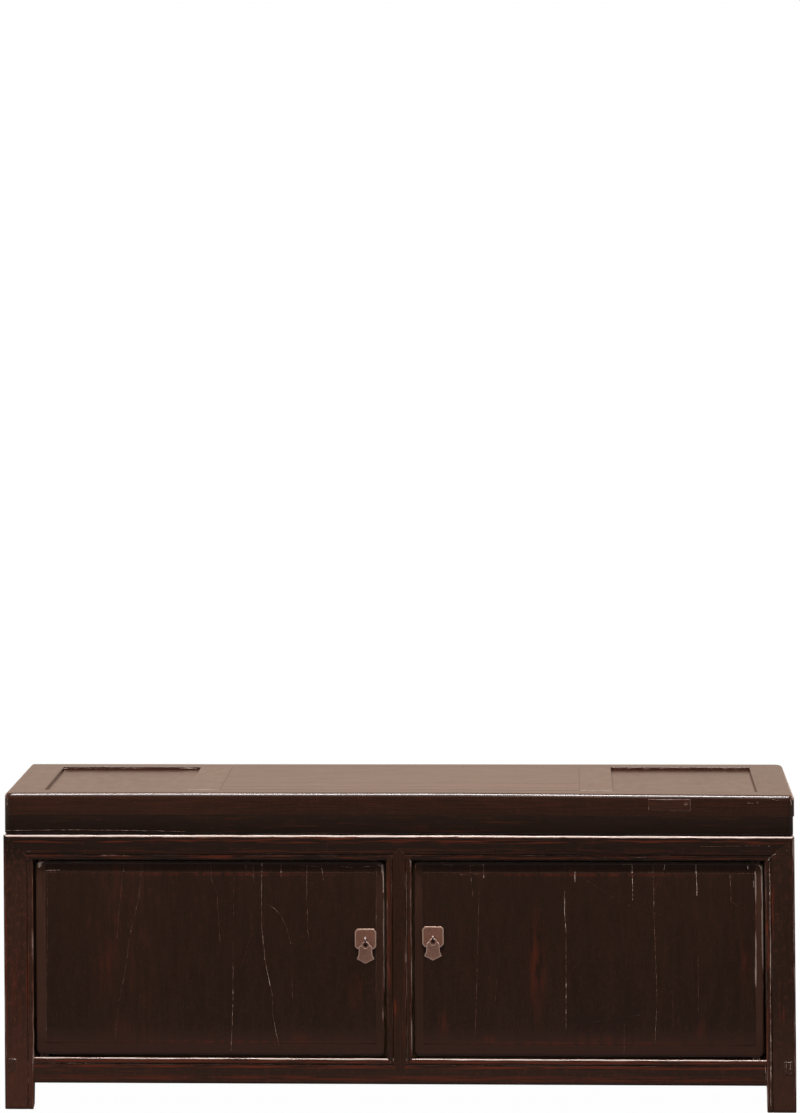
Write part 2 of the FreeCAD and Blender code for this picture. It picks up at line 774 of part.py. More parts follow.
def pull_tag(ring_radius, ring_z):
    """A hanging tag: round pierced head, sloping shoulders, flared sides, pointed foot."""
    ring_y = door_front_y - plate_thickness - neck_length(ring_radius)
    hole_z = ring_z - (ring_radius - strip_thickness / 2 - tag_clearance) - tag_hole_radius
    half = tag_half_width
    right_side = [(pull_x + u * half, hole_z + v * tag_length, radius * half)
                  for u, v, radius in tag_outline_shares]
    left_side = [(pull_x - u * half, hole_z + v * tag_length, radius * half)
                 for u, v, radius in reversed(tag_outline_shares)]
    tip = [(pull_x, hole_z - tag_length, tag_tip_radius_share * half)]
    y0 = ring_y - tag_thickness / 2
    body = front_prism(right_side + tip + left_side, y0, y0 + tag_thickness)
    through = FreeCAD.Vector(0, 1, 0)
    centre = FreeCAD.Vector(pull_x, y0, hole_z)
    head = Part.makeCylinder(tag_head_radius, tag_thickness, centre, through)
    hole = Part.makeCylinder(tag_hole_radius, tag_thickness, centre, through)
    return body.fuse(head).removeSplitter().cut(hole)


def build_carcass():
    form = carcass_form()
    stile = centre_stile()
    top_rail = front_top_rail(form)
    side_rail = side_top_rail(form)
    low_side_rail = side_bottom_rail()
    low_rail = bottom_rail()
    rear_low_rail = turned_to_back(low_rail)
    rear_top = turned_to_back(top_rail)

    front_leg = front_leg_blank(form)
    for joined in (top_rail, side_rail, low_side_rail, low_rail):
        front_leg = front_leg.cut(joined)
    rear_leg = rear_leg_blank(form)
    for joined in (rear_top, side_rail, low_side_rail, rear_low_rail):
        rear_leg = rear_leg.cut(joined)

    end_panel = side_panel()
    back_panel = rear_panel()
    back_stile = rear_stile()
    batten = floor_batten()
    boards = floor_boards()

    top_rail = cut_sockets(beaded_top_rail(top_rail).cut(stile), opening_high,
                           opening_high + pivot_top_engagement + pivot_end_clearance)
    low_rail = beaded_bottom_rail(low_rail).cut(stile)
    low_rail = cut_sockets(low_rail, opening_low - pivot_bottom_engagement - pivot_end_clearance, opening_low)
    for board in boards + [batten, mirrored(batten)]:
        low_rail = low_rail.cut(board)
        rear_low_rail = rear_low_rail.cut(board)
    for board in boards:
        low_side_rail = low_side_rail.cut(board)
    rear_low_rail = rear_low_rail.cut(back_stile)
    rear_top = rear_top.cut(back_stile)
    for panel in (back_panel, mirrored(back_panel)):
        rear_low_rail = rear_low_rail.cut(panel)
        rear_top = rear_top.cut(panel)
        back_stile = back_stile.cut(panel)
    side_rail = side_rail.cut(end_panel)
    low_side_rail = low_side_rail.cut(end_panel)
    front_leg = front_leg.cut(end_panel)
    rear_leg = rear_leg.cut(end_panel).cut(back_panel)

    pieces["front_top_rail"] = top_rail
    pieces["front_bottom_rail"] = low_rail
    pieces["rear_top_rail"] = rear_top
    pieces["rear_bottom_rail"] = rear_low_rail
    pieces["centre_stile"] = beaded_stile(stile)
    pieces["rear_stile"] = back_stile
    pieces["door_stop_strip"] = block(-stop_strip_width / 2, stop_strip_width / 2, stile_rear_y,
                                      stile_rear_y + stop_strip_thickness, opening_low, opening_high)
    for name, shape in (
            ("front_leg", front_leg), ("rear_leg", rear_leg), ("side_top_rail", side_rail),
            ("side_bottom_rail", low_side_rail), ("side_panel", end_panel),
            ("rear_panel", back_panel), ("floor_batten", batten)):
        pieces["right_" + name] = shape
        pieces["left_" + name] = mirrored(shape)
    for name, board in zip(("front", "middle", "rear"), boards):
        pieces["floor_board_" + name] = board


def build_top():
    form = upper_form()
    pieces["waist_board_front"] = waist_board_front(form)
    pieces["waist_board_rear"] = waist_board_rear(form)
    waist_side = waist_board_side()
    front_rail = top_long_rail(form, upper_front_y, top_front_inner_y)
    rear_rail = top_long_rail(form, upper_rear_y, top_rear_inner_y)
    end_rail = top_end_rail()
    cross_rail = top_cross_rail()
    panel = tray_panel()
    boards = centre_boards()
    rim = tray_rim_cutter()
    board_batten = top_batten(top_batten_share * centre_half, waist_top,
                              total_height - top_board_thickness)
    tray_batten = top_batten((tray_inner_x + tray_outer_x) / 2,
                             tray_floor - tray_panel_thickness - tray_batten_height,
                             tray_floor - tray_panel_thickness)
    patch = fascia_patch()
    seated = [cross_rail, panel, board_batten, tray_batten]
    seated += [mirrored(shape) for shape in seated]
    for shape in seated + boards + [rim, mirrored(rim)]:
        front_rail = front_rail.cut(shape)
        rear_rail = rear_rail.cut(shape)
    front_rail = front_rail.cut(patch)
    end_rail = end_rail.cut(panel).cut(rim)
    cross_rail = cross_rail.cut(panel).cut(rim)
    for board in boards:
        cross_rail = cross_rail.cut(board)

    pieces["top_front_rail"] = front_rail
    pieces["top_rear_rail"] = rear_rail
    pieces["top_fascia_patch"] = patch
    for name, shape in (
            ("waist_board", waist_side), ("top_end_rail", end_rail)):
        pieces["right_" + name] = shape.common(form)
        pieces["left_" + name] = mirrored(shape).common(form)
    for name, shape in (
            ("top_cross_rail", cross_rail), ("tray_panel", panel),
            ("tray_batten", tray_batten), ("top_board_batten", board_batten)):
        pieces["right_" + name] = shape
        pieces["left_" + name] = mirrored(shape)
    for name, board in zip(("front", "middle", "rear"), boards):
        pieces["top_centre_board_" + name] = board


def build_door(side, joint_shares, plate_top, ring_radius):
    boards, battens = door_pieces(joint_shares, plate_top)
    ring_z = plate_top - ring_drop
    parts = {
        "door_hinge_board": boards[0],
        "door_middle_board": boards[1],
        "door_meeting_board": boards[2],
        "door_lower_batten": battens[0],
        "door_upper_batten": battens[1],
        "pull_plate": pull_plate(plate_top, ring_z),
        "pull_pin": split_pin(ring_radius, ring_z),
        "pull_tag": pull_tag(ring_radius, ring_z),
    }
    for name, shape in parts.items():
        pieces[side + "_" + name] = mirrored(shape) if side == "left" else shape


build_carcass()
build_top()
build_door("left", left_door_joint_shares, left_plate_top, left_ring_radius)
build_door("right", right_door_joint_shares, right_plate_top, right_ring_radius)

os.makedirs("parts", exist_ok=True)
for name, shape in pieces.items():
    shape.removeSplitter().exportStep("parts/" + name + ".step")
print(len(pieces), "sub-parts")
print("pivots at x", pivot_x, "y", pivot_y)
for top, radius in ((left_plate_top, left_ring_radius), (right_plate_top, right_ring_radius)):
    ring_y = door_front_y - plate_thickness - neck_length(radius)
    print("ring at x", pull_x, "y", ring_y, "z", top - ring_drop)
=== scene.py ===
import json
import math

import bmesh
import bpy
from mathutils import Matrix, Vector, noise


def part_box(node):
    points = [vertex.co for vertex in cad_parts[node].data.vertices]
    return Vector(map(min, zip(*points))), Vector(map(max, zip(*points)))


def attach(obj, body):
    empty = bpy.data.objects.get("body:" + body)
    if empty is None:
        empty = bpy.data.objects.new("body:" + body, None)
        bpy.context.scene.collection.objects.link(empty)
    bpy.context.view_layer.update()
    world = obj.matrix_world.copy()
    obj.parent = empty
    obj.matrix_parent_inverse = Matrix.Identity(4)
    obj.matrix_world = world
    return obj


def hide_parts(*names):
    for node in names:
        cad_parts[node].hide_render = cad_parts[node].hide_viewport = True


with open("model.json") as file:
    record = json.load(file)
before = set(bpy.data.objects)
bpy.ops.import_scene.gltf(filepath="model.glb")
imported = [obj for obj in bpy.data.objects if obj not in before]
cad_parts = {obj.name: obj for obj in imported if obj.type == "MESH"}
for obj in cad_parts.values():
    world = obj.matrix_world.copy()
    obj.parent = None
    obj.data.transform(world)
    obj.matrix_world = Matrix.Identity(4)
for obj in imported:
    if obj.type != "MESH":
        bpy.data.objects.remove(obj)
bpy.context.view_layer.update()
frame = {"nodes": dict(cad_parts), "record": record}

# Lengths here are in millimetres, and meshes are made in metres
metre = 0.001

# View of the cabinet: where the eye stands, how it is turned (degrees), and its lens
eye = (232.5, -8078.0, 1350.8)
eye_turn = -3.672
eye_down = 1.310
eye_roll = -0.348
photo_size = (800, 1113)
photo_focus = 5212.7
photo_centre = (214.6, 340.1)
sensor = 36.0


def box_of(node):
    """x0, x1, y0, y1, z0, z1 of a node at rest."""
    low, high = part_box(node)
    return [value / metre for pair in zip(low, high) for value in pair]


# Sizes that the frame gives
half_width = box_of("right_front_leg")[1]
opening_x, _, front, leg_back, _, _ = box_of("right_front_leg")
rear = box_of("rear_bottom_rail")[3]
middle = (front + rear) / 2
foot, opening_low = box_of("front_bottom_rail")[4:]
opening_high, carcass_top = box_of("front_top_rail")[4:]
rail_back = box_of("front_top_rail")[3]
stile_half = box_of("centre_stile")[1]
waist_inside, upper_x = box_of("right_waist_board")[:2]
waist_top, top = box_of("right_top_end_rail")[4:]
tray_out = box_of("right_top_end_rail")[0]
cross_in, tray_in = box_of("right_top_cross_rail")[:2]
upper_front, frame_front = box_of("top_front_rail")[2:4]
frame_back, upper_rear = box_of("top_rear_rail")[2:4]
tray_under, tray_floor = box_of("right_tray_panel")[4:]
door_in = box_of("right_door_meeting_board")[0]
door_out = box_of("right_door_hinge_board")[1]
door_front, door_back, board_low, board_high = box_of("right_door_middle_board")[2:]

# Common to all pieces: how far a face lies inside the box, how far from an arris its shading starts, how much a
# face waves, in patterns of a fineness and a share, and the sharpest turn that is shaded as smooth (degrees)
proud = 0.15
flank = 4.0
waviness = 0.12
wave_patterns = ((0.011, 0.7), (0.05, 0.3))
sharp_turn = 34
fine_arris = 0.5
plain_arris = 1.0
fine_end = 0.25
plain_end = 0.3

# Carcass
bead = 9.0
groove = 0.8
groove_depth = 1.6
opening_arris = 2.2
carcass_arris = 3.0
carcass_gap = 1.8
carcass_rebate = 5.0
leg_arris = 3.0
leg_spacing = 8.0
foot_round = 1.5
foot_narrowing = 0.9
foot_lean = 2.8
foot_turn = 4.0
tenon_setback = 12.0
tenon_thickness = 12.0
tenon_height = 20.0
tenon_drop = 2.6
tenon_shown = 5.0

# Waist and top: corner_rows are the distances from a mitre at which a corner is divided to be rounded in plan
upper_arris = 6.2
waist_arris = 2.0
frame_arris = 0.9
cross_arris = 0.7
board_arris = 0.2
patch_arris = 0.3
corner_rows = (1.2, 2.5, 6.0, 8.0, 10.5, 14.0)
plan_corners = {(-1, -1): 12.0, (1, -1): 10.0, (1, 1): 14.0, (-1, 1): 3.0}

# Doors: a field stands out from the margins round it, which are painted lighter, with painted shade along the top
# edge under the top rail and bare wood behind
door_drop = 1.7
door_lift = 1.4
door_low = board_low - door_drop
door_high = board_high + door_lift
door_arris = 3.0
door_back_arris = 1.5
door_corner = 8.0
field_raise = 2.5
low_raise = 0.12
raise_start = 70.0
raise_length = 50.0
side_margin = 13.3
top_margin = 15.9
bottom_margin = 19.0
pivot_radius = 7.0
pivot_from_edge = 11.0
pivot_overlap = 8.0
door_waviness = 0.15
# Painted shade along a door's top edge, under the top rail: how far down it reaches and where it is full
painted_shade_height = 6.0
painted_shade_full = 2.0
bare_start = 3.2
bare_full = 4.5
ribbon_proud = 0.1
ribbon_swing = 0.5
ribbon_step = 2.5

# Pulls: each tag corner is a distance aside, a height from the tag's hole and a radius
pin_rise = {-1: 1.4, 1: 0.9}
strip_thickness = 1.6
strip_bend = 2.0
strip_clearance = 0.05
strip_section = ((-1, -0.5), (-0.8, -1), (0.8, -1), (1, -0.5), (1, 0.5), (0.8, 1), (-0.8, 1), (-1, 0.5))
plate_cant = (3.6, 4.5)
plate_rise = 1.0
plate_hole = 2.3
plate_bevel = 0.2
plate_rim = ((0.0, 0.9), (0.2, 1.0), (1.2, 0.9), (2.2, 0.0))
tag_corners = ((6.9, 0.2, 1.5), (9.8, -1.6, 2.2), (10.5, -14.5, 7.0), (13.0, -21.1, 0.9), (9.3, -22.7, 1.8))
tag_head = 6.05
tag_hole = 4.0
tag_length = 27.8
tag_tip = 1.3
tag_bevel = 0.35
tag_rim = ((0.0, 0.9), (0.2, 1.0), (0.8, 0.8), (1.6, 0.0))

# How far things stand from their true places: the middle of the front to the right, the right-hand end inwards
# at its top, and the walls of the trays, each an x and its move
centre_drift = 1.9
drift_half = 540.0
lean = 1.7
lean_low = 60.0
lean_height = 320.0
lean_start = 500.0
lean_width = 55.0
tray_drift = ((-upper_x, 0), (-tray_out, 8), (-tray_in, 0), (tray_in, 4.5), (tray_out, -4.5), (upper_x, 0))

# How far the front of the upper part has sunk: all along it, and more towards the right and left ends
sag = 1.0
right_sag = 3.6
right_sag_start = 100.0
left_sag = 0.6
left_sag_start = 400.0

side_names = {-1: "left_", 1: "right_"}


def linear(red, green, blue):
    """A colour given as 0 to 255 on screen, as the renderer counts it."""
    parts = []
    for part in (red, green, blue):
        part = part / 255
        parts.append(part / 12.92 if part <= 0.04045 else ((part + 0.055) / 1.055) ** 2.4)
    return parts


# Mesh making

def rounded(corners, segments=4, reach=flank):
    """Points (u, v, edge) round an outline of corners (u, v, radius, edge).

    edge is 1 on an arris; below 0 it marks painted shade in a groove or under a ledge.
    """
    count = len(corners)
    arcs = []
    for index, (u, v, radius, edge) in enumerate(corners):
        corner = Vector((u, v))
        before = Vector(corners[index - 1][:2]) - corner
        after = Vector(corners[(index + 1) % count][:2]) - corner
        if radius == 0:
            arcs.append([(corner, edge)])
            continue
        before.normalize()
        after.normalize()
        half = before.angle(after) / 2
        centre = corner + (before + after).normalized() * radius / math.sin(half)
        first = corner + before * radius / math.tan(half) - centre
        last = corner + after * radius / math.tan(half) - centre
        arc = []
        for step in range(segments + 1):
            share = step / segments
            spoke = first.lerp(last, share).normalized() * radius
            arc.append((centre + spoke, edge * (1 - 0.25 * abs(2 * share - 1))))
        arcs.append(arc)
    points = []
    for index, arc in enumerate(arcs):
        following = arcs[(index + 1) % count]
        points += [(*point, edge) for point, edge in arc]
        start, start_edge = arc[-1]
        end, end_edge = following[0]
        length = (end - start).length
        after_start = start_edge > 0 or start_edge == 0 and len(arc) > 1
        before_end = end_edge > 0 or end_edge == 0 and len(following) > 1
        flanks = after_start + before_end
        if flanks and length > 1.3 * reach * flanks:
            shares = ([reach / length] if after_start else []) + ([1 - reach / length] if before_end else [])
            points += [(*start.lerp(end, share), 0) for share in shares]
    return points


def inward(points):
    """The direction into the outline at each of its points."""
    count = len(points)
    area = sum(points[i - 1][0] * points[i][1] - points[i][0] * points[i - 1][1] for i in range(count))
    turn = 1 if area > 0 else -1
    result = []
    for index in range(count):
        before = Vector(points[index][:2]) - Vector(points[index - 1][:2])
        after = Vector(points[(index + 1) % count][:2]) - Vector(points[index][:2])
        normal = Vector((-before.y, before.x)).normalized() + Vector((-after.y, after.x)).normalized()
        result.append((normal * turn).normalized())
    return result


def place(axis, u, v, along):
    """The point at u, v of an outline, so far along its axis."""
    return {"x": (along, u, v), "y": (u, along, v), "z": (u, v, along)}[axis]


def rows_to_mesh(name, rows, wave=waviness, bend=None, pierced=False):
    """A closed mesh through rows of (point, edge), each row a ring.

    Both ends are capped, or joined to each other where the mesh is pierced.
    """
    shape = bmesh.new()
    layer = shape.verts.layers.float.new("edge")
    rings = []
    for row in rows:
        ring = []
        for point, edge in row:
            vertex = shape.verts.new(bend(point) if bend else point)
            vertex[layer] = edge
            ring.append(vertex)
        rings.append(ring)
    for lower, upper in zip(rings, rings[1:] + rings[:1] if pierced else rings[1:]):
        for index in range(len(lower)):
            following = (index + 1) % len(lower)
            shape.faces.new((lower[index], lower[following], upper[following], upper[index]))
    if not pierced:
        shape.faces.new(rings[0][::-1])
        shape.faces.new(rings[-1])
    bmesh.ops.recalc_face_normals(shape, faces=shape.faces)
    return to_object(name, shape, wave)


def to_object(name, shape, wave=0.0):
    """Gives a mesh its slight unevenness, smooth shading and an object."""
    shape.normal_update()
    if wave:
        moves = []
        for vertex in shape.verts:
            point = vertex.co
            swing = sum(noise.noise(point * scale) * share for scale, share in wave_patterns)
            moves.append(vertex.normal * (-abs(swing) * wave))
        for vertex, move in zip(shape.verts, moves):
            vertex.co += move
    shape.normal_update()
    for face in shape.faces:
        face.smooth = True
    for edge in shape.edges:
        edge.smooth = len(edge.link_faces) == 2 and edge.calc_face_angle(0) < math.radians(sharp_turn)
    bmesh.ops.scale(shape, vec=(metre, metre, metre), verts=shape.verts)
    mesh = bpy.data.meshes.new(name)
    shape.to_mesh(mesh)
    shape.free()
    piece = bpy.data.objects.new(name, mesh)
    bpy.context.scene.collection.objects.link(piece)
    return piece


def sweep(name, axis, outline, low, high, low_round, high_round, end_edge, spacing=30.0, wave=waviness, bend=None,
          reach=flank, near=()):
    """An outline carried along an axis between two ends.

    Each end is a number or a function of the outline's point, and near gives more rows so far from it.
    """
    low_at = low if callable(low) else lambda u, v: low
    high_at = high if callable(high) else lambda u, v: high
    into = inward(outline)
    lows = [low_at(u, v) for u, v, edge in outline]
    highs = [high_at(u, v) for u, v, edge in outline]

    def row(ends, way, reach, inset, row_edge):
        made = []
        for (u, v, edge), normal, end in zip(outline, into, ends):
            point = place(axis, u + normal.x * inset, v + normal.y * inset, end + way * reach)
            made.append((Vector(point), max(edge, row_edge) if edge >= 0 else edge))
        return made

    def end_rows(ends, way, radius):
        turns = (0, 30, 60, 90) if radius > 1 else (0, 90)
        made = [row(ends, way, 0, radius + reach, 0)] if reach < 1 else []
        for turn in turns:
            angle = math.radians(turn)
            edge = end_edge * (0.8 if turn == 90 else 1)
            made.append(row(ends, way, radius * (1 - math.cos(angle)), radius * (1 - math.sin(angle)), edge))
        if min(highs) - max(lows) > 3 * (reach + radius):
            made += [row(ends, way, away, 0, 0) for away in sorted((*near, radius + reach))]
        return made

    rows = end_rows(lows, 1, low_round)
    farthest = max(near, default=flank) + flank
    start = max(lows) + low_round + farthest
    stop = min(highs) - high_round - farthest
    steps = int((stop - start) / spacing) + 1
    if stop - start > spacing:
        for step in range(steps + 1):
            rows.append(row([start + (stop - start) * step / steps] * len(outline), 1, 0, 0, 0))
    rows += end_rows(highs, -1, high_round)[::-1]
    return rows_to_mesh(name, rows, wave, bend)


def bar(name, axis, x0, x1, y0, y1, z0, z1, radius, end_round=0.35, edge=0.8, wave=waviness, reach=flank):
    """A straight bar with all its long edges rounded alike."""
    spans = {"x": (y0, y1, z0, z1, x0, x1), "y": (x0, x1, z0, z1, y0, y1)}
    u0, u1, v0, v1, low, high = spans[axis]
    corners = [(u, v, radius, edge) for u, v in ((u0, v0), (u1, v0), (u1, v1), (u0, v1))]
    return sweep(name, axis, rounded(corners, 2, reach), low, high, end_round, end_round, edge, wave=wave,
                 reach=reach)


def flipped(piece, side, end=1):
    """Mirrors a piece across the middle planes: side -1 to the left, end -1 to the back."""
    if side == 1 and end == 1:
        return piece
    shape = bmesh.new()
    shape.from_mesh(piece.data)
    for vertex in shape.verts:
        vertex.co.x *= side
        if end == -1:
            vertex.co.y = 2 * middle * metre - vertex.co.y
    if side * end == -1:
        bmesh.ops.reverse_faces(shape, faces=shape.faces)
    shape.to_mesh(piece.data)
    shape.free()
    return piece


def joined(name, pieces):
    """Several meshes as one piece."""
    shape = bmesh.new()
    for piece in pieces:
        shape.from_mesh(piece.data)
        bpy.data.objects.remove(piece)
    mesh = bpy.data.meshes.new(name)
    shape.to_mesh(mesh)
    shape.free()
    made = bpy.data.objects.new(name, mesh)
    bpy.context.scene.collection.objects.link(made)
    return made


# Materials

class Value:
    """A node's output, with which sums are written as they are read."""

    def __init__(self, owner, socket):
        self.owner = owner
        self.socket = socket

    def __add__(self, other):
        return self.owner.math("ADD", self, other)

    def __sub__(self, other):
        return self.owner.math("SUBTRACT", self, other)

    def __rsub__(self, other):
        return self.owner.math("SUBTRACT", other, self)

    def __mul__(self, other):
        return self.owner.math("MULTIPLY", self, other)

    def __abs__(self):
        return self.owner.math("ABSOLUTE", self)


class Nodes:
    """A node tree, whose nodes are written as short calls."""

    def __init__(self, tree):
        self.tree = tree
        tree.nodes.clear()

    def put(self, target, value):
        """Sets an input to a number or colour, or links it to an output."""
        if isinstance(value, Value):
            self.tree.links.new(value.socket, target)
        elif hasattr(value, "__len__") and len(value) == 3 and len(target.default_value) == 4:
            target.default_value = (*value, 1)
        else:
            target.default_value = value

    def node(self, kind, *values, **settings):
        """A new node with its settings made and its first inputs filled."""
        made = self.tree.nodes.new(kind)
        for key, value in settings.items():
            setattr(made, key, value)
        for target, value in zip(made.inputs, values):
            self.put(target, value)
        return made

    def value(self, kind, *values, out=0, **settings):
        """One output of a new node."""
        return Value(self, self.node(kind, *values, **settings).outputs[out])

    def parts(self, vector):
        """The x, y and z of a vector."""
        return [Value(self, socket) for socket in self.node("ShaderNodeSeparateXYZ", vector).outputs]

    def math(self, operation, *values):
        return self.value("ShaderNodeMath", *values, operation=operation)

    def most(self, a, b):
        return self.math("MAXIMUM", a, b)

    def step(self, value, low, high):
        """0 below low, 1 above high, smooth between; low may be the greater."""
        return self.value("ShaderNodeMapRange", value, low, high, 0, 1, interpolation_type="SMOOTHSTEP")

    def range(self, value, low, high):
        """A 0 to 1 value spread between low and high."""
        return self.value("ShaderNodeMapRange", value, 0, 1, low, high)

    def share(self, value, low, high):
        """How far a value is on its straight way from low to high, 0 to 1."""
        return self.value("ShaderNodeMapRange", value, low, high, 0, 1)

    def blend(self, share, a, b):
        """A colour between a and b."""
        node = self.node("ShaderNodeMix", share, data_type="RGBA")
        self.put(node.inputs[6], a)
        self.put(node.inputs[7], b)
        return Value(self, node.outputs[2])


class Look(Nodes):
    """One material, whose patterns lie in its piece's own coordinates."""

    def __init__(self, name):
        self.material = bpy.data.materials.new(name)
        self.material.use_nodes = True
        super().__init__(self.material.node_tree)
        self.shader = self.node("ShaderNodeBsdfPrincipled")
        self.surface = Value(self, self.shader.outputs[0])
        self.output = self.node("ShaderNodeOutputMaterial", self.surface)
        self.place = self.value("ShaderNodeTexCoord", out="Object")
        self.x, self.y, self.z = self.parts(self.place)

    def spot(self, x, z, half_x, half_z):
        """1 in the middle of a patch of the front, falling to 0 at its half width and half height."""
        across = self.step(abs(self.x - x * metre), half_x * metre, 0)
        return across * self.step(abs(self.z - z * metre), half_z * metre, 0)

    def noise(self, stretch, detail=3, rough=0.5, shift=(0, 0, 0), distortion=0):
        place = self.node("ShaderNodeMapping", self.place, shift)
        self.put(place.inputs["Scale"], stretch)
        node = self.node("ShaderNodeTexNoise", Value(self, place.outputs[0]))
        for name, value in (("Scale", 1), ("Detail", detail), ("Roughness", rough), ("Distortion", distortion)):
            self.put(node.inputs[name], value)
        return Value(self, node.outputs[0])

    def edge(self):
        """How worn the mesh is marked to be: 1 on an arris; below 0 it marks painted shade in a groove or under a
        ledge.
        """
        return self.value("ShaderNodeAttribute", attribute_name="edge", out="Fac")

    def bump(self, height, distance):
        node = self.node("ShaderNodeBump")
        self.put(node.inputs["Height"], height)
        self.put(node.inputs["Distance"], distance)
        return Value(self, node.outputs[0])

    def finish(self, **values):
        """Sets the shader's inputs and gives the material."""
        for name, value in values.items():
            self.put(self.shader.inputs[name.replace("_", " ")], value)
        return self.material


def along(axis, fine, ratio=12):
    """Noise stretch for streaks that run along an axis, with `fine` features a metre across them."""
    base = {"x": (1 / ratio, 1, 1), "y": (1, 1 / ratio, 1), "z": (1, 1, 1 / ratio)}[axis]
    return tuple(fine * part for part in base)


def shade(colour, factor):
    return [part * factor for part in colour]


dark_frame = linear(42, 24, 16)
dark_rail = linear(30, 19, 14)
dark_door = linear(39, 23, 16)
dark_top = linear(47, 29, 22)
# Door margins: redder lacquer, and painted light that lifts the recessed margins above the field
lit_door_margin = linear(56, 35, 26)
lit_low_door_margin = linear(50, 29, 22)
red_wood = linear(95, 38, 21)
worn_red = linear(92, 48, 34)
pale_wood = linear(142, 125, 116)
inside_wood = linear(150, 118, 88)
edge_wood = linear(104, 80, 64)
rust_red = linear(150, 76, 50)
crack_brown = linear(92, 60, 48)
# Pale wood in cracks and strokes, also used for painted highlights
crack_pale_and_highlight = linear(205, 182, 168)


def door_zones(look, colour, tone, dark, margin, low_margin):
    """Colours a door's margins (redder lacquer, and painted light), paints shade along its top edge under the top
    rail, and colours its bare back; also gives the painted shade's share.
    """
    aside = abs(look.x - centre_drift * metre)
    from_in = aside - (door_in + side_margin) * metre
    from_out = (door_out - side_margin) * metre - aside
    inside = look.math("MINIMUM", from_in, from_out)
    # Painted light: the margins lighter, most towards the cabinet's two ends
    outer_share = look.range(look.step(aside, 0.2, 0.4), 0.45, 1.0)
    colour = look.blend(look.step(inside, 0.0004, -0.0004) * outer_share, colour, margin)
    above = look.z - (door_low + bottom_margin) * metre
    colour = look.blend(look.step(above, 0.030, -0.004), colour, low_margin)
    # Painted shade along the top edge under the top rail, which also dulls its gloss
    painted_top_shade = look.step(look.z, (door_high - painted_shade_height) * metre, (door_high - painted_shade_full) * metre)
    colour = look.blend(painted_top_shade * 0.6, colour, shade(dark, 0.3))
    bare = look.blend(tone, shade(edge_wood, 0.75), shade(edge_wood, 1.25))
    behind = look.step(look.y, (door_front + bare_start) * metre, (door_front + bare_full) * metre)
    return look.blend(behind, colour, bare), painted_top_shade


def lacquer(name, grain, dark, shift=0.0, streaks=0.35, pale=0.7, upper=None, lower=None, rubs=(), spots=(),
            margin=None, low_margin=None, swell=0.0003, grain_size=(300, 22), chip_size=None, red=0.4,
            broken=0.5, contrast=1.5, rub_range=(0.44, 0.64), mottle=0.08):
    """Worn black-brown lacquer.

    upper is two heights and the colour that the lacquer turns to between them, lower a height and the colour
    at the floor, rubs are (x, z, half width, half height, share) of red wood showing through, spots the same of
    pale wood, some of them painted highlights on arrises, and margin and low_margin are the colours round a
    door's raised field, redder lacquer with painted light.
    """
    look = Look(name)
    place = (shift, shift * 0.7, shift * 1.3)
    broad = look.noise(along(grain, 8, 4), 2, 0.5, place)
    streak = look.noise(along(grain, *grain_size), 3, 0.6, place)
    fine = look.noise(along(grain, 700, 25), 2, 0.5, place)
    cloud = look.noise(along(grain, 60, 3), 3, 0.6, place)
    chips = look.noise(chip_size or along(grain, 300, 14), 3, 0.6, place)
    specks = look.noise((700, 700, 700), 2, 0.5, place)
    grit = look.noise((520, 520, 520), 2, 0.6, place)
    flecks = look.noise((150, 150, 110), 4, 0.65, place)
    edge = look.edge()
    tone = look.step(fine * 0.2 + broad * 0.3 + streak * 0.25 + grit * 0.25, 0.38, 0.62)
    colour = look.blend(tone, shade(dark, 0.8), shade(dark, 1.2))
    shine = look.range(cloud, 0.18, 0.28)
    dull = look.step(chips, 0.42, 0.56) * look.step(edge, 0.1, 0.5) * broken
    shine = look.most(shine, dull)
    if lower:
        level, below = lower
        colour = look.blend(look.step(look.z, level * metre, 0), colour, below)
    if upper:
        level, full, above = upper
        lit = look.blend(tone, shade(above, 0.92), shade(above, 1.08))
        colour = look.blend(look.step(look.z, level * metre, full * metre), colour, lit)
    # Door margins with painted light, and painted shade along the top edge
    if margin:
        colour, painted_top_shade = door_zones(look, colour, tone, dark, margin, low_margin)
        shine = look.most(shine, painted_top_shade * 0.8)
    colour = look.blend(look.step(flecks, 0.5, 0.75) * mottle, colour, worn_red)
    colour = look.blend(look.step(flecks, 0.47, 0.27) * mottle, colour, shade(dark, 0.6))
    rub = look.step(streak * 0.7 + broad * 0.5, 0.68, 0.86) * streaks
    for *patch, share in rubs:
        rub = look.most(rub, look.spot(*patch) * look.step(streak, *rub_range) * share)
    colour = look.blend(rub, colour, red_wood)
    wear = edge + 0.6 + (chips - 0.5) * contrast + specks * 0.4
    # Pale spots: worn wood, and at some arrises painted highlights
    for *patch, share in spots:
        wear = wear + look.spot(*patch) * share
    colour = look.blend(look.step(wear, 1.42, 1.62) * red, colour, worn_red)
    colour = look.blend(look.step(wear, 1.62, 1.86) * pale, colour, pale_wood)
    # Painted shade in grooves and under ledges, where the edge mark is below 0
    colour = look.blend(look.step(edge, 0, -0.8) * 0.5, colour, shade(dark, 0.3))
    normal = look.bump(streak * 0.4 + fine * 0.15, swell)
    return look.finish(Base_Color=colour, Roughness=shine, Normal=normal, Specular_IOR_Level=0.45)


def bare_wood(name, grain, shift=0.0):
    look = Look(name)
    place = (shift, shift, shift)
    broad = look.noise(along(grain, 14, 8), 3, 0.6, place)
    rings = look.noise(along(grain, 90, 30), 4, 0.6, place, 0.4)
    fine = look.noise(along(grain, 700, 30), 2, 0.5, place)
    colour = look.blend(look.step(rings, 0.35, 0.7), inside_wood, shade(inside_wood, 0.55))
    colour = look.blend(look.step(broad, 0.4, 0.75) * 0.6, colour, shade(inside_wood, 0.35))
    return look.finish(Base_Color=colour, Roughness=look.range(rings, 0.6, 0.8),
                       Normal=look.bump(rings * 0.5 + fine * 0.3, 0.0006), Specular_IOR_Level=0.25)


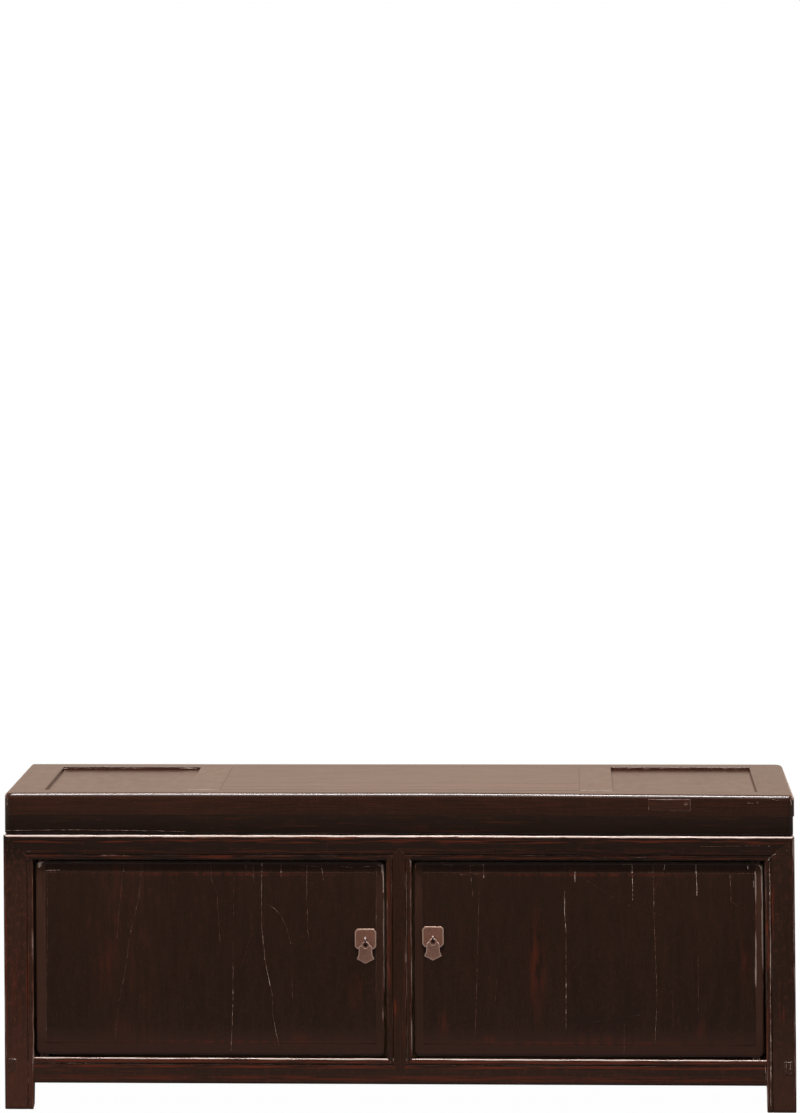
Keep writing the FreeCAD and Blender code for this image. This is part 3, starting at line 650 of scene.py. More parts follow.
def aged_metal(name, base, rim, shift=0.0, shade_patches=()):
    """Dull metal, rubbed bright round its rim; patches of painted shade, nearly black, are (x, z, half width,
    half height, share).
    """
    look = Look(name)
    place = (shift, shift, shift)
    mottle = look.noise((520, 520, 520), 4, 0.65, place)
    patch = look.noise((130, 130, 130), 3, 0.6, place)
    rust = look.noise((300, 300, 300), 2, 0.6, place)
    colour = look.blend(look.step(mottle, 0.32, 0.7), shade(base, 0.6), shade(base, 1.25))
    colour = look.blend(look.step(rust, 0.56, 0.68) * 0.35, colour, rust_red)
    colour = look.blend(look.step(patch, 0.5, 0.7) * 0.3, colour, shade(base, 0.5))
    colour = look.blend(look.step(look.edge() + mottle * 0.6, 0.7, 1.1) * 0.85, colour, rim)
    # Painted shade, nearly black
    for *shade_patch, share in shade_patches:
        colour = look.blend(look.step(look.spot(*shade_patch), 0.05, 0.5) * share, colour, shade(base, 0.08))
    return look.finish(Base_Color=colour, Metallic=0.6, Roughness=look.range(mottle, 0.45, 0.65),
                       Normal=look.bump(mottle * 0.6 + patch * 0.5, 0.0003))


# Putting pieces in the frame

body_of = {node: body for body, nodes in frame["record"]["behaviour"]["bodies"].items() for node in nodes}
slot_of = {entry["node"]: entry["material_slot"] for entry in frame["record"]["subparts"]}


def clamped(share):
    return min(max(share, 0), 1)


def move_at(x, z, node):
    """How far a point of a node stands to the right of its true place."""
    if slot_of[node] == "top_lacquer":
        for (start, before), (end, after) in zip(tray_drift, tray_drift[1:]):
            if start <= x <= end:
                return before + (after - before) * (x - start) / (end - start)
        return 0
    if body_of[node] != "carcass" or node == "centre_stile":
        return centre_drift * max(1 - (x / drift_half) ** 2, 0) ** 2
    return -lean * clamped((z - lean_low) / lean_height) * clamped((x - lean_start) / lean_width)


def sunk_at(x, y, z):
    """How far a point of the carcass has sunk: most at the top of the front, towards both ends."""
    right_share = clamped((x - right_sag_start) / (half_width - right_sag_start))
    left_share = clamped((-x - left_sag_start) / (half_width - left_sag_start))
    sunk = sag + right_sag * right_share + left_sag * left_share
    return sunk * clamped((rear - y) / (rear - front)) * clamped((z - opening_high) / (top - opening_high))


def settle(piece, node, material=None):
    """The piece stands for a node, rides on its body and takes a material."""
    for vertex in piece.data.vertices:
        x, y, z = (part / metre for part in vertex.co)
        move = move_at(x, z, node)
        vertex.co.x += move * metre
        if body_of[node] == "carcass":
            vertex.co.z -= sunk_at(x + move, y, z) * metre
    piece.name = "soft_" + node
    piece.data.materials.clear()
    piece.data.materials.append(material or finish_of(node))
    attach(piece, body_of[node])
    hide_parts(node)
    return piece


def grain_of(node):
    """The axis along which a node is longest."""
    x0, x1, y0, y1, z0, z1 = box_of(node)
    spans = [x1 - x0, y1 - y0, z1 - z0]
    return "xyz"[spans.index(max(spans))]


view_turn = (Matrix.Rotation(math.radians(-eye_turn), 4, "Z")
             @ Matrix.Rotation(math.radians(90 - eye_down), 4, "X")
             @ Matrix.Rotation(math.radians(eye_roll), 4, "Z")).to_3x3()


def seen(across, down, depth):
    """x and z of the point at a depth (y) that the eye sees at a place in the view."""
    ray = view_turn @ Vector((across - photo_centre[0], photo_centre[1] - down, -photo_focus))
    point = Vector(eye) + ray * ((depth - eye[1]) / ray.y)
    return point.x, point.z


def marks(depth, *places):
    """Patches seen in the view, each (across, down, half width, half height, share), on a face at a depth."""
    return [(*seen(across, down, depth), *rest) for across, down, *rest in places]


# Pieces whose lacquer differs from the rest of the frame

whole = 3000.0
own_look = {
    "front_top_rail": dict(dark=dark_rail, rubs=[
        (-150, carcass_top - 7, 420, 2.5, 0.9), (0, carcass_top - 11.5, whole, 5, 0.55),
        (0, carcass_top - 26, whole, 7, 0.2), (0, opening_high + 5.5, whole, 5, 0.5)]),
    "waist_board_front": dict(dark=linear(32, 20, 14), streaks=0.25),
    "top_fascia_patch": dict(
        dark=linear(46, 28, 20), streaks=0.3, rubs=[(0, top - 17, whole, 15, 0.2)],
        spots=marks(upper_front, (686, 804, 12, 10, 0.9), (665, 800, 30, 4, 0.7), (665, 810, 30, 3, 0.7))),
    "left_front_leg": dict(
        dark=linear(51, 31, 22), streaks=0.5, mottle=0.5, lower=(190, linear(68, 39, 28)),
        upper=(350, 400, dark_rail), rub_range=(0.38, 0.6),
        rubs=marks(front, (27.3, 960, 3, 130, 0.9), (6, 950, 2.5, 200, 0.8), (16, 1000, 12, 120, 0.4),
                   (14, 1070, 7, 40, 0.6))),
    "right_front_leg": dict(
        dark=linear(43, 26, 19), mottle=0.3, lower=(190, linear(57, 34, 24)),
        rubs=marks(front, (773, 910, 4, 80, 0.7), (782, 1015, 8, 22, 0.45), (766.5, 990, 2.5, 80, 0.8),
                   (767.6, 970, 3.4, 240, 1.2)),
        # Pale spots down the leg's inner arris: worn, and a painted highlight
        spots=[(598, 230, 5, 260, 0.1), (598, 405, 5, 40, 0.5),
               *marks(front, (770.2, 985, 2.2, 260, 0.85), (766.2, 960, 2.2, 200, -0.5))]),
    "left_side_bottom_rail": dict(dark=linear(58, 36, 27), streaks=0.3),
    "right_side_bottom_rail": dict(dark=linear(54, 33, 25), streaks=0.3),
    "front_bottom_rail": dict(
        dark=linear(45, 27, 19), streaks=0.45, mottle=0.2, rub_range=(0.36, 0.6),
        rubs=[(0, opening_low - 5, whole, 2.4, 1.0), (0, opening_low - 13, whole, 3, 1.0),
              (0, foot + 9, whole, 7, 0.5)]),
    "centre_stile": dict(
        dark=dark_frame,
        rubs=marks(front, (396, 1008, 8, 20, 0.7), (388.5, 950, 4.5, 180, 0.9), (404, 980, 5, 70, 0.3),
                   (409.5, 950, 3, 160, 0.4)),
        # Pale spots on the stile's right bead: worn, and a painted highlight
        spots=marks(front, (405.5, 885, 2, 60, 0.4), (406, 958, 2.5, 14, 0.5), (405.7, 970, 1.6, 200, 0.4))),
}
door_rubs = marks(
    door_front, (106, 962, 24, 75, 0.22), (537, 965, 19, 110, 0.38), (442, 1025, 14, 26, 0.35),
    (489, 1040, 12, 12, 0.6), (116, 925, 12, 30, 0.25), (700, 1030, 16, 25, 0.2), (300, 1040, 16, 16, 0.25),
    (357, 990, 16, 45, 0.2), (145, 995, 18, 30, 0.2), (745, 960, 12, 70, 0.22), (600, 1040, 60, 12, 0.22),
    (130, 1030, 60, 30, 0.12))
# Pale spots on the doors' corners and right-hand edges: worn, and painted highlights
door_spots_and_highlights = marks(
    door_front, (39.5, 865, 5, 9, 1.5), (52, 860, 9, 4, 0.7), (74, 862, 26, 4, 0.6), (52, 870.5, 14, 3, 0.9),
    (114, 862, 12, 3, 0.6), (376, 868, 7, 8, 0.7), (381.5, 872, 3, 16, 0.6), (443, 862, 9, 5, 0.6),
    (472, 866, 28, 9, 0.55), (748, 867.5, 2, 7, 1.2), (755.8, 884, 3.2, 60, 0.9), (755.8, 960, 3.0, 190, 1.1),
    (762.2, 880, 4, 40, 0.8), (762.5, 930, 2.6, 140, 0.8), (416, 868, 5, 12, 0.5), (382.6, 1010, 2, 60, 0.6))
for side in side_names:
    door_middle = side * (door_in + door_out) / 2
    door_rubs.append((door_middle, door_low + bottom_margin + 1, 275, 5, 0.35))
    door_rubs.append((door_middle, door_high - top_margin - 3, 275, 4, 0.35))
door_look = dict(dark=dark_door, streaks=0.12, pale=0.8, rubs=door_rubs, spots=door_spots_and_highlights, margin=lit_door_margin,
                 low_margin=lit_low_door_margin, grain_size=(90, 5), chip_size=(240, 240, 26), broken=0.35,
                 contrast=1.7, rub_range=(0.34, 0.66))
top_frame_look = dict(dark=dark_frame, streaks=0.25, grain_size=(420, 26), upper=(top - 1.5, top, dark_top),
                      rubs=[(0, top - 17, whole, 15, 0.1)], swell=0.0001, red=0.2, broken=0.3,
                      # Pale spots at the upper part's two front corners: worn, and painted highlights on their
                      # rounding
                      spots=[(side * (upper_x - 1), top - 8, 6, 11, 1.1) for side in side_names])
top_look = dict(dark=dark_top, streaks=0.15, pale=0.5, swell=0.00006, red=0.2)
frame_look = dict(dark=dark_frame, streaks=0.4)


def finish_of(node):
    """The material of a node, with its own place in the grain."""
    shift = 1.7 * sorted(slot_of).index(node)
    slot = slot_of[node]
    name = "look_" + node
    if slot == "bare_wood":
        return bare_wood(name, grain_of(node), shift)
    if slot == "door_lacquer":
        return lacquer(name, "z", shift=shift, **door_look)
    if node in own_look:
        chosen = own_look[node]
    elif slot == "top_lacquer" and node.endswith("rail") and "cross" not in node:
        chosen = top_frame_look
    elif slot == "top_lacquer":
        chosen = top_look
    else:
        chosen = frame_look
    return lacquer(name, grain_of(node), shift=shift, **chosen)


# Carcass

def mitre_height(x):
    """Height of the joint between a leg and the top rail: 45 degrees through the bead, then to the corner."""
    x = min(max(abs(x), opening_x), half_width)
    if x < opening_x + bead:
        return opening_high + x - opening_x
    share = (x - opening_x - bead) / (half_width - opening_x - bead)
    return opening_high + bead + share * (carcass_top - opening_high - bead)


def mitre_x(z):
    """How far out the top rail reaches at height z."""
    if z < opening_high + bead:
        return opening_x + z - opening_high
    share = (z - opening_high - bead) / (carcass_top - opening_high - bead)
    return opening_x + bead + share * (half_width - opening_x - bead)


def side_mitre_height(y):
    """Height of the joint between a leg and the side's top rail."""
    return opening_high + clamped((leg_back - y) / (leg_back - front)) * (carcass_top - opening_high)


def foot_taper(point):
    """Draws the inner side of a leg outwards below the rail, most at the leg's back."""
    share = (half_width - point.x) / (half_width - opening_x)
    behind = (point.y - front) / (leg_back - front)
    lean_out = foot_lean * behind * clamped((foot - point.z) / foot_turn)
    narrowing = foot_narrowing * max(1 - point.z / foot, 0)
    return Vector((point.x + (lean_out + narrowing) * share, point.y, point.z))


def groove_in(face, at, way, worn, level=False):
    """Corners of the groove beside a bead, in their order along the face; worn is for its two brims, and the
    bottom is marked -1 for painted shade.
    """
    corners = [(at - way * groove, face, 0, worn[0]), (at, face + groove_depth, 0, -1),
               (at + way * groove, face, 0, worn[1])]
    return [(v, u, radius, edge) for u, v, radius, edge in corners] if level else corners


def leg(beaded, mitre_edge):
    face = front + proud
    outside = half_width - proud
    corners = [(opening_x, leg_back, plain_arris, 0.6), (opening_x, face, opening_arris, 0.85)]
    if beaded:
        corners += groove_in(face, opening_x + bead, 1, (0.7, 0.5))
    corners += [(outside, face, leg_arris, 0.85), (outside, leg_back, plain_arris, 0.6)]
    outline = rounded(corners, 4, 1.2)
    return sweep("leg", "z", outline, 0, lambda u, v: min(mitre_height(u), side_mitre_height(v)), foot_round,
                 plain_end, mitre_edge, spacing=leg_spacing, bend=foot_taper)


def top_rail(beaded):
    face = front + proud
    brow = carcass_top - carcass_gap
    corners = [(rail_back, opening_high, plain_arris, 0.6), (rail_back, carcass_top, plain_arris, 0.3),
               # The rebate under the waist is marked -1 for painted shade
               (face + carcass_rebate, carcass_top, 0, 0), (face + carcass_rebate, brow, 0, -1),
               # The carcass arris is marked 1.2: worn pale, and its pale line also paints its highlight
               (face, brow, carcass_arris, 1.2)]
    if beaded:
        corners += groove_in(face, opening_high + bead, -1, (0.3, 0.5), True)
        corners += [(face, opening_high, opening_arris, 0.6)]
    else:
        corners += [(face, opening_high, plain_arris, 0.6)]
    end = lambda u, v: min(mitre_x(v), half_width - (u - front))
    return sweep("top_rail", "x", rounded(corners, 6, 1.0), lambda u, v: -end(u, v), end, plain_end, plain_end,
                 0.2)


def side_top_rail():
    outside = half_width - proud
    inside = half_width - (rail_back - front)
    brow = carcass_top - carcass_gap
    # The carcass arris is marked 1.2: worn pale, and its pale line also paints its highlight
    corners = [(inside, opening_high, plain_arris, 0.6), (outside, opening_high, plain_arris, 0.6),
               # The rebate under the waist is marked -1 for painted shade
               (outside, brow, carcass_arris, 1.2), (outside - carcass_rebate, brow, 0, -1),
               (outside - carcass_rebate, carcass_top, 0, 0), (inside, carcass_top, plain_arris, 0.3)]
    slope = (leg_back - front) / (carcass_top - opening_high)
    reach = lambda u, v: max(half_width - u, slope * (carcass_top - v))
    return sweep("side_rail", "y", rounded(corners, 6), lambda u, v: front + reach(u, v),
                 lambda u, v: rear - reach(u, v), plain_end, plain_end, 0.5)


def bottom_rail(beaded):
    face = front + proud
    corners = [(rail_back, foot, plain_arris, 0.6), (rail_back, opening_low, plain_arris, 0.6),
               (face, opening_low, opening_arris, 1.1)]
    if beaded:
        corners += groove_in(face, opening_low - bead, -1, (0.6, 0.5), True)
    corners += [(face, foot, opening_arris, 0.6)]
    return sweep("bottom_rail", "x", rounded(corners, 4, 1.2), -opening_x, opening_x, fine_end, fine_end, 0.3)


def side_bottom_rail():
    """Rail between the legs with the two tenon ends that show on the leg faces."""
    x0, x1, y0, y1, z0, z1 = box_of("right_side_bottom_rail")
    pieces = [bar("rail", "y", x0, x1 - proud, leg_back, 2 * middle - leg_back, z0, z1, plain_arris)]
    x0 += tenon_setback
    z1 -= tenon_drop
    for low, high in ((y0, y0 + tenon_shown), (y1 - tenon_shown, y1)):
        pieces.append(bar("tenon", "y", x0, x0 + tenon_thickness, low, high, z1 - tenon_height, z1, 0.4, 0.2,
                          0.9, 0.0, 0.6))
    return joined("side_bottom_rail", pieces)


def stile():
    back = box_of("centre_stile")[3]
    corners = [(stile_half, back, fine_arris, 0.5), (-stile_half, back, fine_arris, 0.5),
               (-stile_half, front, opening_arris, 0.75)]
    corners += groove_in(front, bead - stile_half, 1, (0.75, 0.45))
    corners += [(0, front, 0, 0)]
    corners += groove_in(front, stile_half - bead, 1, (0.45, 0.95))
    corners += [(stile_half, front, opening_arris, 0.9)]
    point = lambda u: max(stile_half - abs(u), 0)
    return sweep("stile", "z", rounded(corners, 4, 1.2), lambda u, v: opening_low - point(u),
                 lambda u, v: opening_high + point(u), plain_end, plain_end, 0.5)


for side, side_name in side_names.items():
    for end, end_name in ((1, "front_leg"), (-1, "rear_leg")):
        mitre_edge = 0.6 if side == end == 1 else 0.2
        settle(flipped(leg(end == 1, mitre_edge), side, end), side_name + end_name)
    settle(flipped(side_top_rail(), side), side_name + "side_top_rail")
    settle(flipped(side_bottom_rail(), side), side_name + "side_bottom_rail")
for make, name in ((top_rail, "top_rail"), (bottom_rail, "bottom_rail")):
    settle(make(True), "front_" + name)
    settle(flipped(make(False), 1, -1), "rear_" + name)
settle(stile(), "centre_stile")


# Waist and top

def plan_corner(point):
    """Rounds the upper part's corners in plan."""
    side = 1 if point.x > 0 else -1
    end = 1 if point.y > middle else -1
    radius = plan_corners[side, end]
    over_x = abs(point.x) - (upper_x - radius)
    edge_y = upper_rear - radius if end == 1 else -(upper_front + radius)
    over_y = end * point.y - edge_y
    if over_x <= 0 or over_y <= 0:
        return point
    scale = max(over_x, over_y) / math.hypot(over_x, over_y)
    return Vector((side * (upper_x - radius + over_x * scale), end * (edge_y + over_y * scale), point.z))


def mitred(axis, outer, inner, low, high, rounds, slope, segments):
    """A piece of the upper part, mitred at both ends.

    It lies between an outer and an inner face and two heights. rounds gives a radius and an edge for each
    corner, from the outer lower one upwards and inwards, and slope is the mitre's.
    """
    face = outer + math.copysign(proud, inner - outer)
    places = ((face, low), (face, high), (inner, high), (inner, low))
    corners = [(*place, *turn) for place, turn in zip(places, rounds)]
    if axis == "x":
        start, stop = -upper_x, upper_x
    else:
        start, stop = upper_front, upper_rear
    return sweep("upper", axis, rounded(corners, segments), lambda u, v: start + slope * abs(u - outer),
                 lambda u, v: stop - slope * abs(u - outer), fine_end, fine_end, 0.1, bend=plan_corner,
                 near=corner_rows)


waist_thickness = upper_x - waist_inside
frame_width = upper_x - tray_out
rail_width = frame_front - upper_front
# The waist's lower arris is marked -0.7 for painted shade above the carcass arris
waist_rounds = ((waist_arris, -0.7), (0, 0), (fine_arris, 0), (fine_arris, 0))
frame_rounds = ((0, 0), (upper_arris, 0.45), (frame_arris, 0), (fine_arris, 0))
for end, name, outer in ((-1, "front", upper_front), (1, "rear", upper_rear)):
    settle(mitred("x", outer, outer - end * waist_thickness, carcass_top, waist_top, waist_rounds, 1, 4),
           "waist_board_" + name)
for name, outer, inner in (("front", upper_front, frame_front), ("rear", upper_rear, frame_back)):
    settle(mitred("x", outer, inner, waist_top, top, frame_rounds, frame_width / rail_width, 5),
           "top_" + name + "_rail")
for side, side_name in side_names.items():
    settle(mitred("y", side * upper_x, side * waist_inside, carcass_top, waist_top, waist_rounds, 1, 4),
           side_name + "waist_board")
    settle(mitred("y", side * upper_x, side * tray_out, waist_top, top, frame_rounds, rail_width / frame_width,
                  5), side_name + "top_end_rail")
    cross = bar("cross", "y", cross_in, tray_in, frame_front, frame_back, waist_top, top, cross_arris, edge=0)
    settle(flipped(cross, side), side_name + "top_cross_rail")
    tray = bar("tray", "y", tray_in, tray_out, frame_front, frame_back, tray_under, tray_floor, fine_arris,
               fine_arris, 0.3)
    settle(flipped(tray, side), side_name + "tray_panel")
for name in ("front", "middle", "rear"):
    node = "top_centre_board_" + name
    x0, x1, y0, y1, z0, z1 = box_of(node)
    y0, y1 = max(y0, frame_front), min(y1, frame_back)
    settle(bar("board", "x", -cross_in, cross_in, y0, y1, z0, z1, board_arris, edge=0), node)
patch = bar("patch", "x", *box_of("top_fascia_patch"), patch_arris, patch_arris, 1.0, 0.0, 0.8)
settle(patch, "top_fascia_patch")


# Doors

def nearness(value, places, reach):
    """1 at any of these places, falling to 0 at reach away."""
    return max(0, 1 - min(abs(value - place) for place in places) / reach)


def door_wear_and_highlight(x, z):
    """How pale a door's outer arris is painted: worn, with painted highlights most at its upper corners and down
    its right-hand edge.
    """
    high = clamped((z - door_high + 45) / 45)
    near_end = nearness(abs(x), (door_in, door_out), 12)
    right_edge = nearness(x, (-door_in, door_out), 6)
    meeting = nearness(x, (-door_in,), 6)
    along_top = clamped((z - door_high + painted_shade_height) / 4)
    upper_share = clamped((z - door_low) / 200)
    return 0.3 - 0.25 * along_top + 0.35 * high * near_end + 0.5 * right_edge * upper_share + 0.4 * meeting


def field_wear_and_highlight(x, z):
    """How pale the edge of a door's raised field is painted: worn along its top, and worn with painted highlights
    down the cabinet's two ends.
    """
    field_in = door_in + side_margin
    field_out = door_out - side_margin
    aside = nearness(x, (-field_out, field_out), 5)
    along_top = nearness(z, (door_high - top_margin,), 5)
    end = nearness(abs(x), (field_in, field_out), 60)
    return 0.2 + 0.35 * aside + (0.2 + 0.15 * end) * along_top


def raise_at(z):
    """How far the field stands out from the margin round it: most along the top."""
    return low_raise + (field_raise - low_raise) * clamped((z - door_high + raise_start) / raise_length)


def ring(x0, x1, z0, z1, radius, y, edge, corner_steps=6, side_steps=16):
    """A rounded rectangle in the front view, with the same number of points whatever its size."""
    points = []
    for cx, cz, start in ((x1 - radius, z1 - radius, 0), (x0 + radius, z1 - radius, 90),
                          (x0 + radius, z0 + radius, 180), (x1 - radius, z0 + radius, 270)):
        for step in range(corner_steps + 1):
            angle = math.radians(start + 90 * step / corner_steps)
            points.append((cx + radius * math.cos(angle), cz + radius * math.sin(angle)))
    full = []
    for index, (x, z) in enumerate(points):
        full.append((x, z))
        if index % (corner_steps + 1) == corner_steps:
            next_x, next_z = points[(index + 1) % len(points)]
            for step in range(1, side_steps):
                share = step / side_steps
                full.append((x + (next_x - x) * share, z + (next_z - z) * share))
    return [(Vector((x, y, z)), edge(x, z) if callable(edge) else edge) for x, z in full]


def door(side):
    """The door in one, as if it hung at the right, before it is parted into boards."""

    def outer(inset, radius, y, edge):
        return ring(door_in + inset, door_out - inset, door_low + inset, door_high - inset, radius, y, edge)

    rows = [outer(inset, door_corner - inset, y, edge) for inset, y, edge in (
        (door_back_arris + 2, door_back, 0), (door_back_arris, door_back, 0.6), (0.4, door_back - 0.6, 0.8),
        (0, door_back - door_back_arris, 0.6), (0, door_back - 6, 0))]
    back_rows = len(rows)
    for turn in (0, 22, 45, 68, 90):
        angle = math.radians(turn)
        inset = door_arris * (1 - math.cos(angle))
        worn = lambda x, z, share=0.75 + 0.25 * math.sin(2 * angle): share * door_wear_and_highlight(side * x, z)
        rows.append(outer(inset, door_corner - inset * 0.9, door_arris * (1 - math.sin(angle)), worn))
    rows.append(outer(door_arris + 2, door_corner - 2, 0, 0.0))
    x0, x1 = door_in + side_margin, door_out - side_margin
    z0, z1 = door_low + bottom_margin, door_high - top_margin
    worn = lambda x, z: field_wear_and_highlight(side * x, z)
    for inset, radius, share, edge in ((-2, 4.5, 0, 0.0), (0, 3, 0.1, 0.0), (0.15, 3, 1, worn),
                                       (0.8, 3, 1, worn), (2.4, 3, 1, 0.0)):
        rows.append(ring(x0 + inset, x1 - inset, z0 + inset, z1 - inset, radius, -field_raise * share, edge))
    for row in rows[back_rows:]:
        for point, edge in row:
            sunk = 1 + min(point.y, 0) / field_raise
            point.y = door_front + max(point.y, 0) + sunk * raise_at(point.z)
    return rows_to_mesh("door", rows, door_waviness)


def pivots(side, low, high):
    """The two wooden pivots of a hinge board, from its lowest to its highest point."""
    x = side * (door_out - pivot_from_edge)
    y = (door_front + door_back) / 2
    circle = []
    for degrees in range(0, 360, 15):
        turn = math.radians(degrees)
        circle.append((x + pivot_radius * math.cos(turn), y + pivot_radius * math.sin(turn), 0))
    spans = ((low, door_low + pivot_overlap), (door_high - pivot_overlap, high))
    return [sweep("pivot", "z", circle, start, stop, 0.6, 0.6, 0, wave=0) for start, stop in spans]


def board(side, name):
    """One board of a door: the whole door cut off at the board's own edges."""
    x0, x1, y0, y1, z0, z1 = box_of(side_names[side] + name)
    piece = flipped(door(side), side)
    shape = bmesh.new()
    shape.from_mesh(piece.data)
    for at, normal in ((x0, -1), (x1, 1)):
        if nearness(abs(at), (door_in, door_out), 1) > 0:
            continue
        made = bmesh.ops.bisect_plane(shape, geom=shape.verts[:] + shape.edges[:] + shape.faces[:],
                                      plane_co=(at * metre, 0, 0), plane_no=(normal, 0, 0), clear_outer=True)
        cut = [part for part in made["geom_cut"] if isinstance(part, bmesh.types.BMEdge)]
        bmesh.ops.holes_fill(shape, edges=cut)
        for edge in cut:
            edge.smooth = False
    shape.to_mesh(piece.data)
    shape.free()
    if name == "door_hinge_board":
        piece = joined("board", [piece] + pivots(side, z0, z1))
    return piece


for side, side_name in side_names.items():
    for name in ("door_hinge_board", "door_middle_board", "door_meeting_board"):
        settle(board(side, name), side_name + name)


# Cracks and scratches in the doors' lacquer, and painted highlights along the doors' corners and field edges:
# each is a width, then across and down of each place that it passes

cracks_and_highlights = {
    -1: (
        (0.3, 124, 863, 120, 902, 117, 938),
        (0.3, 142, 863, 139, 898, 130, 934, 125, 972, 119, 1003, 115, 1039), (0.18, 140, 993, 139, 1049),
        (0.3, 211, 863, 211, 878, 217, 893, 220, 942), (0.25, 234, 875, 233, 967),
        (0.4, 233, 967, 233, 1003, 231, 1051), (0.35, 245, 865, 247, 875), (0.35, 253, 865, 254, 883),
        (0.42, 262, 863, 261.5, 898, 262, 930, 265, 960, 269, 980, 272, 993),
        (0.36, 272, 993, 273, 1016, 276, 1032, 279, 1045), (0.2, 251, 909, 251, 937, 240, 970),
        (0.32, 267, 904, 275, 909, 281, 916, 286, 926, 291, 944), (0.35, 281, 863, 281, 878),
        (0.32, 307, 865, 306.5, 900, 308, 919, 307.5, 930, 310, 944), (0.4, 321, 865, 323.5, 880),
        (0.25, 292, 978, 293, 1006), (0.75, 43, 861.8, 39.8, 863.6, 38.7, 868),
        (0.6, 378, 864.8, 381.5, 866.2, 383, 871, 383.2, 892), (0.35, 47, 860.6, 52, 860, 60, 860.2),
        (0.35, 66, 861.8, 78, 862.5, 90, 862.6), (0.28, 112, 861.8, 119, 863.5), (0.55, 46, 870.6, 60, 870.2),
        (0.3, 300, 865.6, 320, 866.5), (0.35, 340, 866.5, 352, 868), (0.35, 361, 867, 374, 866.2),
        (0.5, 366, 872.7, 372, 872.9), (0.28, 47, 873, 47.5, 900, 47, 960, 46.5, 1038),
        (0.28, 376.2, 869, 376.2, 925, 376, 1000)),
    1: (
        (0.3, 470, 865, 473, 897), (0.28, 479, 891, 478, 934, 476.5, 993, 475, 1039),
        (0.22, 497, 975, 494, 1016), (0.5, 564.5, 891, 564.5, 909, 566, 932), (0.38, 566, 932, 566, 1029),
        (0.5, 575, 872, 575, 882), (0.25, 579, 875.5, 612, 897, 637, 909, 663, 915), (0.5, 632, 865, 633, 900),
        (0.35, 653, 865, 654, 914, 657, 997, 655, 1045), (0.5, 665, 864, 664, 870), (0.5, 696, 864, 697, 896),
        (0.3, 698, 955, 698.5, 1013), (0.25, 672, 990, 673.5, 1026), (0.35, 730, 873, 731, 901, 738, 906),
        (0.2, 588, 1023, 642, 1014.5), (0.25, 624.5, 1018, 624, 1054), (0.75, 755.2, 871.5, 755, 876),
        (0.75, 758.6, 865.5, 760.6, 867, 761.4, 871), (0.6, 747.2, 866, 748.2, 869.5),
        (0.5, 753.5, 881, 753.3, 887), (0.35, 443, 864.8, 456, 865.6), (0.35, 468, 866, 483, 864.8),
        (0.35, 460, 874.6, 484, 873.8), (0.45, 483.6, 864, 483.6, 878), (0.3, 541, 864.5, 542.5, 869),
        (0.4, 619, 864.6, 632, 864.8), (0.4, 628, 872.4, 632, 872.5), (0.35, 648, 872.3, 656, 872.3)),
}

# Strokes of bare wood and painted highlights on the frame and the upper part, and painted highlights along the
# trays' far walls, in the same form
frame_strokes = (
    (0.4, 100, 855.4, 107, 855.4), (0.4, 109, 855.5, 121, 855.5), (0.35, 123, 855.7, 130, 855.7),
    (0.25, 268, 853.5, 272, 853.5), (0.3, 322, 857, 336, 857), (0.25, 350, 857, 390, 857),
    (0.3, 604, 857.8, 607, 857.8), (0.35, 630, 857.5, 646, 857.5), (0.35, 700, 846.5, 722, 846.5),
    (0.3, 725, 846, 740, 846), (0.35, 745, 846, 760, 846), (0.45, 768, 846, 770, 846),
    (0.55, 775.5, 854, 771, 857, 768, 860.5), (0.4, 781, 854.3, 782.5, 854.3), (0.4, 786, 850.6, 787.2, 850.6),
    (0.5, 28, 851.5, 30, 851.5), (0.35, 391, 1061, 391, 1064), (0.35, 394.5, 1056.5, 394.5, 1058),
    (0.35, 50, 1063, 60, 1063), (0.35, 66, 1063, 82, 1063.2), (0.35, 85, 1063, 94, 1063),
    (0.45, 786, 1061, 786.5, 1073), (0.45, 790.5, 1062, 790.5, 1070),
    (0.4, 32.6, 1055, 32.3, 1064, 33, 1072, 33.1, 1078), (0.3, 28.3, 1062, 28.4, 1080, 28.7, 1104),
    (0.4, 765.9, 1061, 765.4, 1068, 766, 1074, 765.8, 1080),
    (0.5, 769.6, 862, 769.9, 900, 770.3, 950, 770.4, 1000, 770.9, 1060, 770.8, 1106))
upper_strokes = (
    (0.45, 747, 803, 753, 803.5), (0.45, 757, 802, 758, 804), (0.4, 769, 799, 774, 799.5),
    (0.4, 776, 800.5, 779, 800), (0.35, 134, 802, 137, 803.5),
    (0.4, 6, 830.6, 60, 829.8, 120, 830.2, 185, 831.5), (0.22, 302, 833, 350, 833.2),
    (0.5, 8.4, 797.3, 7.2, 799.5, 6.8, 805), (0.5, 790.6, 799.4, 791.3, 802, 791.6, 805),
    (0.3, 648.6, 801, 648.8, 809.6), (0.3, 665, 810.2, 690, 810.3), (0.4, 690.6, 801.5, 690.2, 809.8),
    (0.3, 672, 798.8, 684, 798.7), (0.35, 684, 806, 688.5, 802.4))
wall_strokes = (
    (0.6, 62.8, 768.3, 64.5, 768.5, 68, 768.6), (0.3, 70, 768.5, 110, 768.4, 150, 768.4),
    (0.6, 180, 768.4, 190, 768.3, 197, 768.5), (0.3, 613, 768.6, 650, 768.7, 690, 768.6),
    (0.35, 700, 768.8, 735, 768.9, 747, 769))


def door_face(x, z):
    """y of a door's face at x, z."""
    inside = min(abs(x) - door_in - side_margin, door_out - side_margin - abs(x), z - door_low - bottom_margin,
                 door_high - top_margin - z)
    return door_front + raise_at(z) * clamped(1 - inside)


